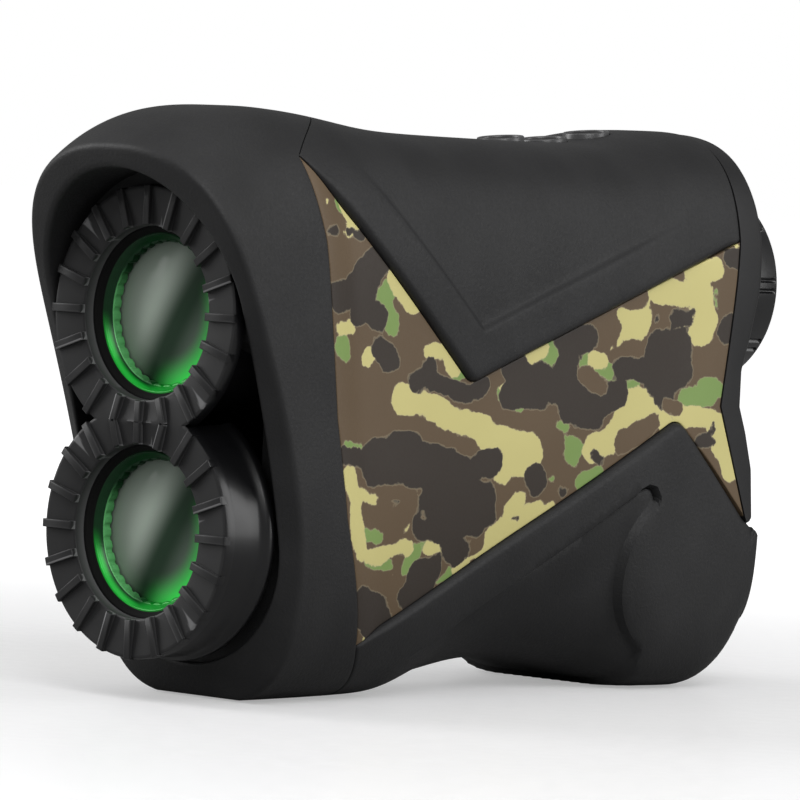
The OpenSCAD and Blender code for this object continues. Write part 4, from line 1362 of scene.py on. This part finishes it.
def build_moving():
    for y, (body, node) in zip(BUTTON_Y, BUTTONS):
        place(button(f"{node}_cap", node, y), body, "rubber", node)
    place(focusing_ring(), "focus", "gloss_black", "focusing_ring", look="gloss_ring")
    place(eyecup(), "focus", "rubber", "eyecup")
    place(battery_door(), "door", "moulded_black", "battery_door")


def keep_cad():
    """The interior keeps its CAD meshes."""
    kept = {
        "casing": ["core_left", "core_right", "battery_bay", "prism_holder", "display_panel"],
        "anodised": ["objective_tube", "laser_tube", "eyepiece_mount", "eyepiece_cell"],
        "seal_rubber": ["objective_seal", "laser_seal", "door_seal"],
        "brass": ["laser_diode", "receiver_diode"],
        "steel": ["battery_contacts", "hinge_pin", "case_screws", "rear_screws"],
        "circuit_board": ["main_board", "button_board"],
    }
    for finish, names in kept.items():
        for name in names:
            soften(name, finish)
    soften("erecting_prisms", "coated_glass", "clear_glass", 0.3)


# ---------------------------------------------------------------- stage, light and camera
FILL_LIGHT, GLOSS_LIGHT = 0.5, 0.24
SOFTBOXES = [
    # name, azimuth, elevation, distance, width, height, watts
    ("left_softbox", -60, 26, 1.0, 0.5, 0.7, 6),
    ("key_softbox", 58, 38, 1.1, 0.6, 0.6, 7),
    ("top_softbox", 10, 80, 1.0, 0.9, 0.9, 3),
    ("side_softbox", 126, 18, 1.1, 0.5, 0.8, 4.6),
]
# the camera's place and target in metres, its roll in degrees, its lens and sensor in millimetres
CAMERA_AT = Vector((0.50032, -0.55099, 0.06486))
CAMERA_TARGET = Vector((-0.001277, -0.001164, 0.038014))
CAMERA_ROLL, CAMERA_LENS, CAMERA_SENSOR = 2.667, 252, 36


def stage_floor():
    """A wide pale floor, just below the base."""
    bm = bmesh.new()
    bmesh.ops.create_grid(bm, x_segments=8, y_segments=8, size=40.0)
    mesh = bpy.data.meshes.new("floor")
    bm.to_mesh(mesh)
    bm.free()
    floor = add_object("floor", mesh)
    floor.location = (0, 0, -0.0002)
    mesh.materials.append(pale_floor())


def softbox(name, azimuth, elevation, distance, width, height, power):
    """A soft light that looks at the object. Azimuth 0 is on the -Y side and 90 on the +X side."""
    a, e = math.radians(azimuth), math.radians(elevation)
    back = Vector((math.sin(a) * math.cos(e), -math.cos(a) * math.cos(e), math.sin(e)))
    data = bpy.data.lights.new(name, "AREA")
    data.shape, data.size, data.size_y, data.energy = "RECTANGLE", width, height, power
    lamp = add_object(name, data)
    lamp.location = Vector((0, 0, 0.04)) + back * distance
    lamp.rotation_mode = "QUATERNION"
    lamp.rotation_quaternion = back.to_track_quat("Z", "Y")


def studio():
    """A white seamless studio. What shows in gloss is dimmer than what lights the matt surfaces."""
    world = bpy.data.worlds.new("studio")
    bpy.context.scene.world = world
    world.use_nodes = True
    sky = Shading(world.node_tree)
    rays = sky.node("LightPath").outputs
    strength = sky.plus(GLOSS_LIGHT, sky.times(rays["Is Diffuse Ray"], FILL_LIGHT - GLOSS_LIGHT))
    strength = sky.plus(strength, sky.times(rays["Is Camera Ray"], 1 - GLOSS_LIGHT))
    background = sky.tree.nodes["Background"].inputs
    sky.plug(background["Strength"], strength)
    sky.plug(background["Color"], rgb(1, 1, 1))
    for lamp in SOFTBOXES:
        softbox(*lamp)
    bpy.context.scene.view_settings.view_transform = "Standard"


def photo_camera():
    """A camera at the photograph's view."""
    roll = math.radians(CAMERA_ROLL)
    back = (CAMERA_AT - CAMERA_TARGET).normalized()
    level = Vector((0, 0, 1)).cross(back).normalized()
    upright = back.cross(level)
    right = level * math.cos(roll) + upright * math.sin(roll)
    up = upright * math.cos(roll) - level * math.sin(roll)
    data = bpy.data.cameras.new("camera")
    data.lens, data.sensor_width = CAMERA_LENS, CAMERA_SENSOR
    data.clip_start, data.clip_end = 0.01, 100
    camera = add_object("camera", data)
    camera.matrix_world = Matrix.Translation(CAMERA_AT) @ Matrix((right, up, back)).transposed().to_4x4()
    bpy.context.scene.camera = camera


MATERIALS = all_materials()
build_case()
build_optics()
build_moving()
keep_cad()
stage_floor()
studio()
photo_camera()
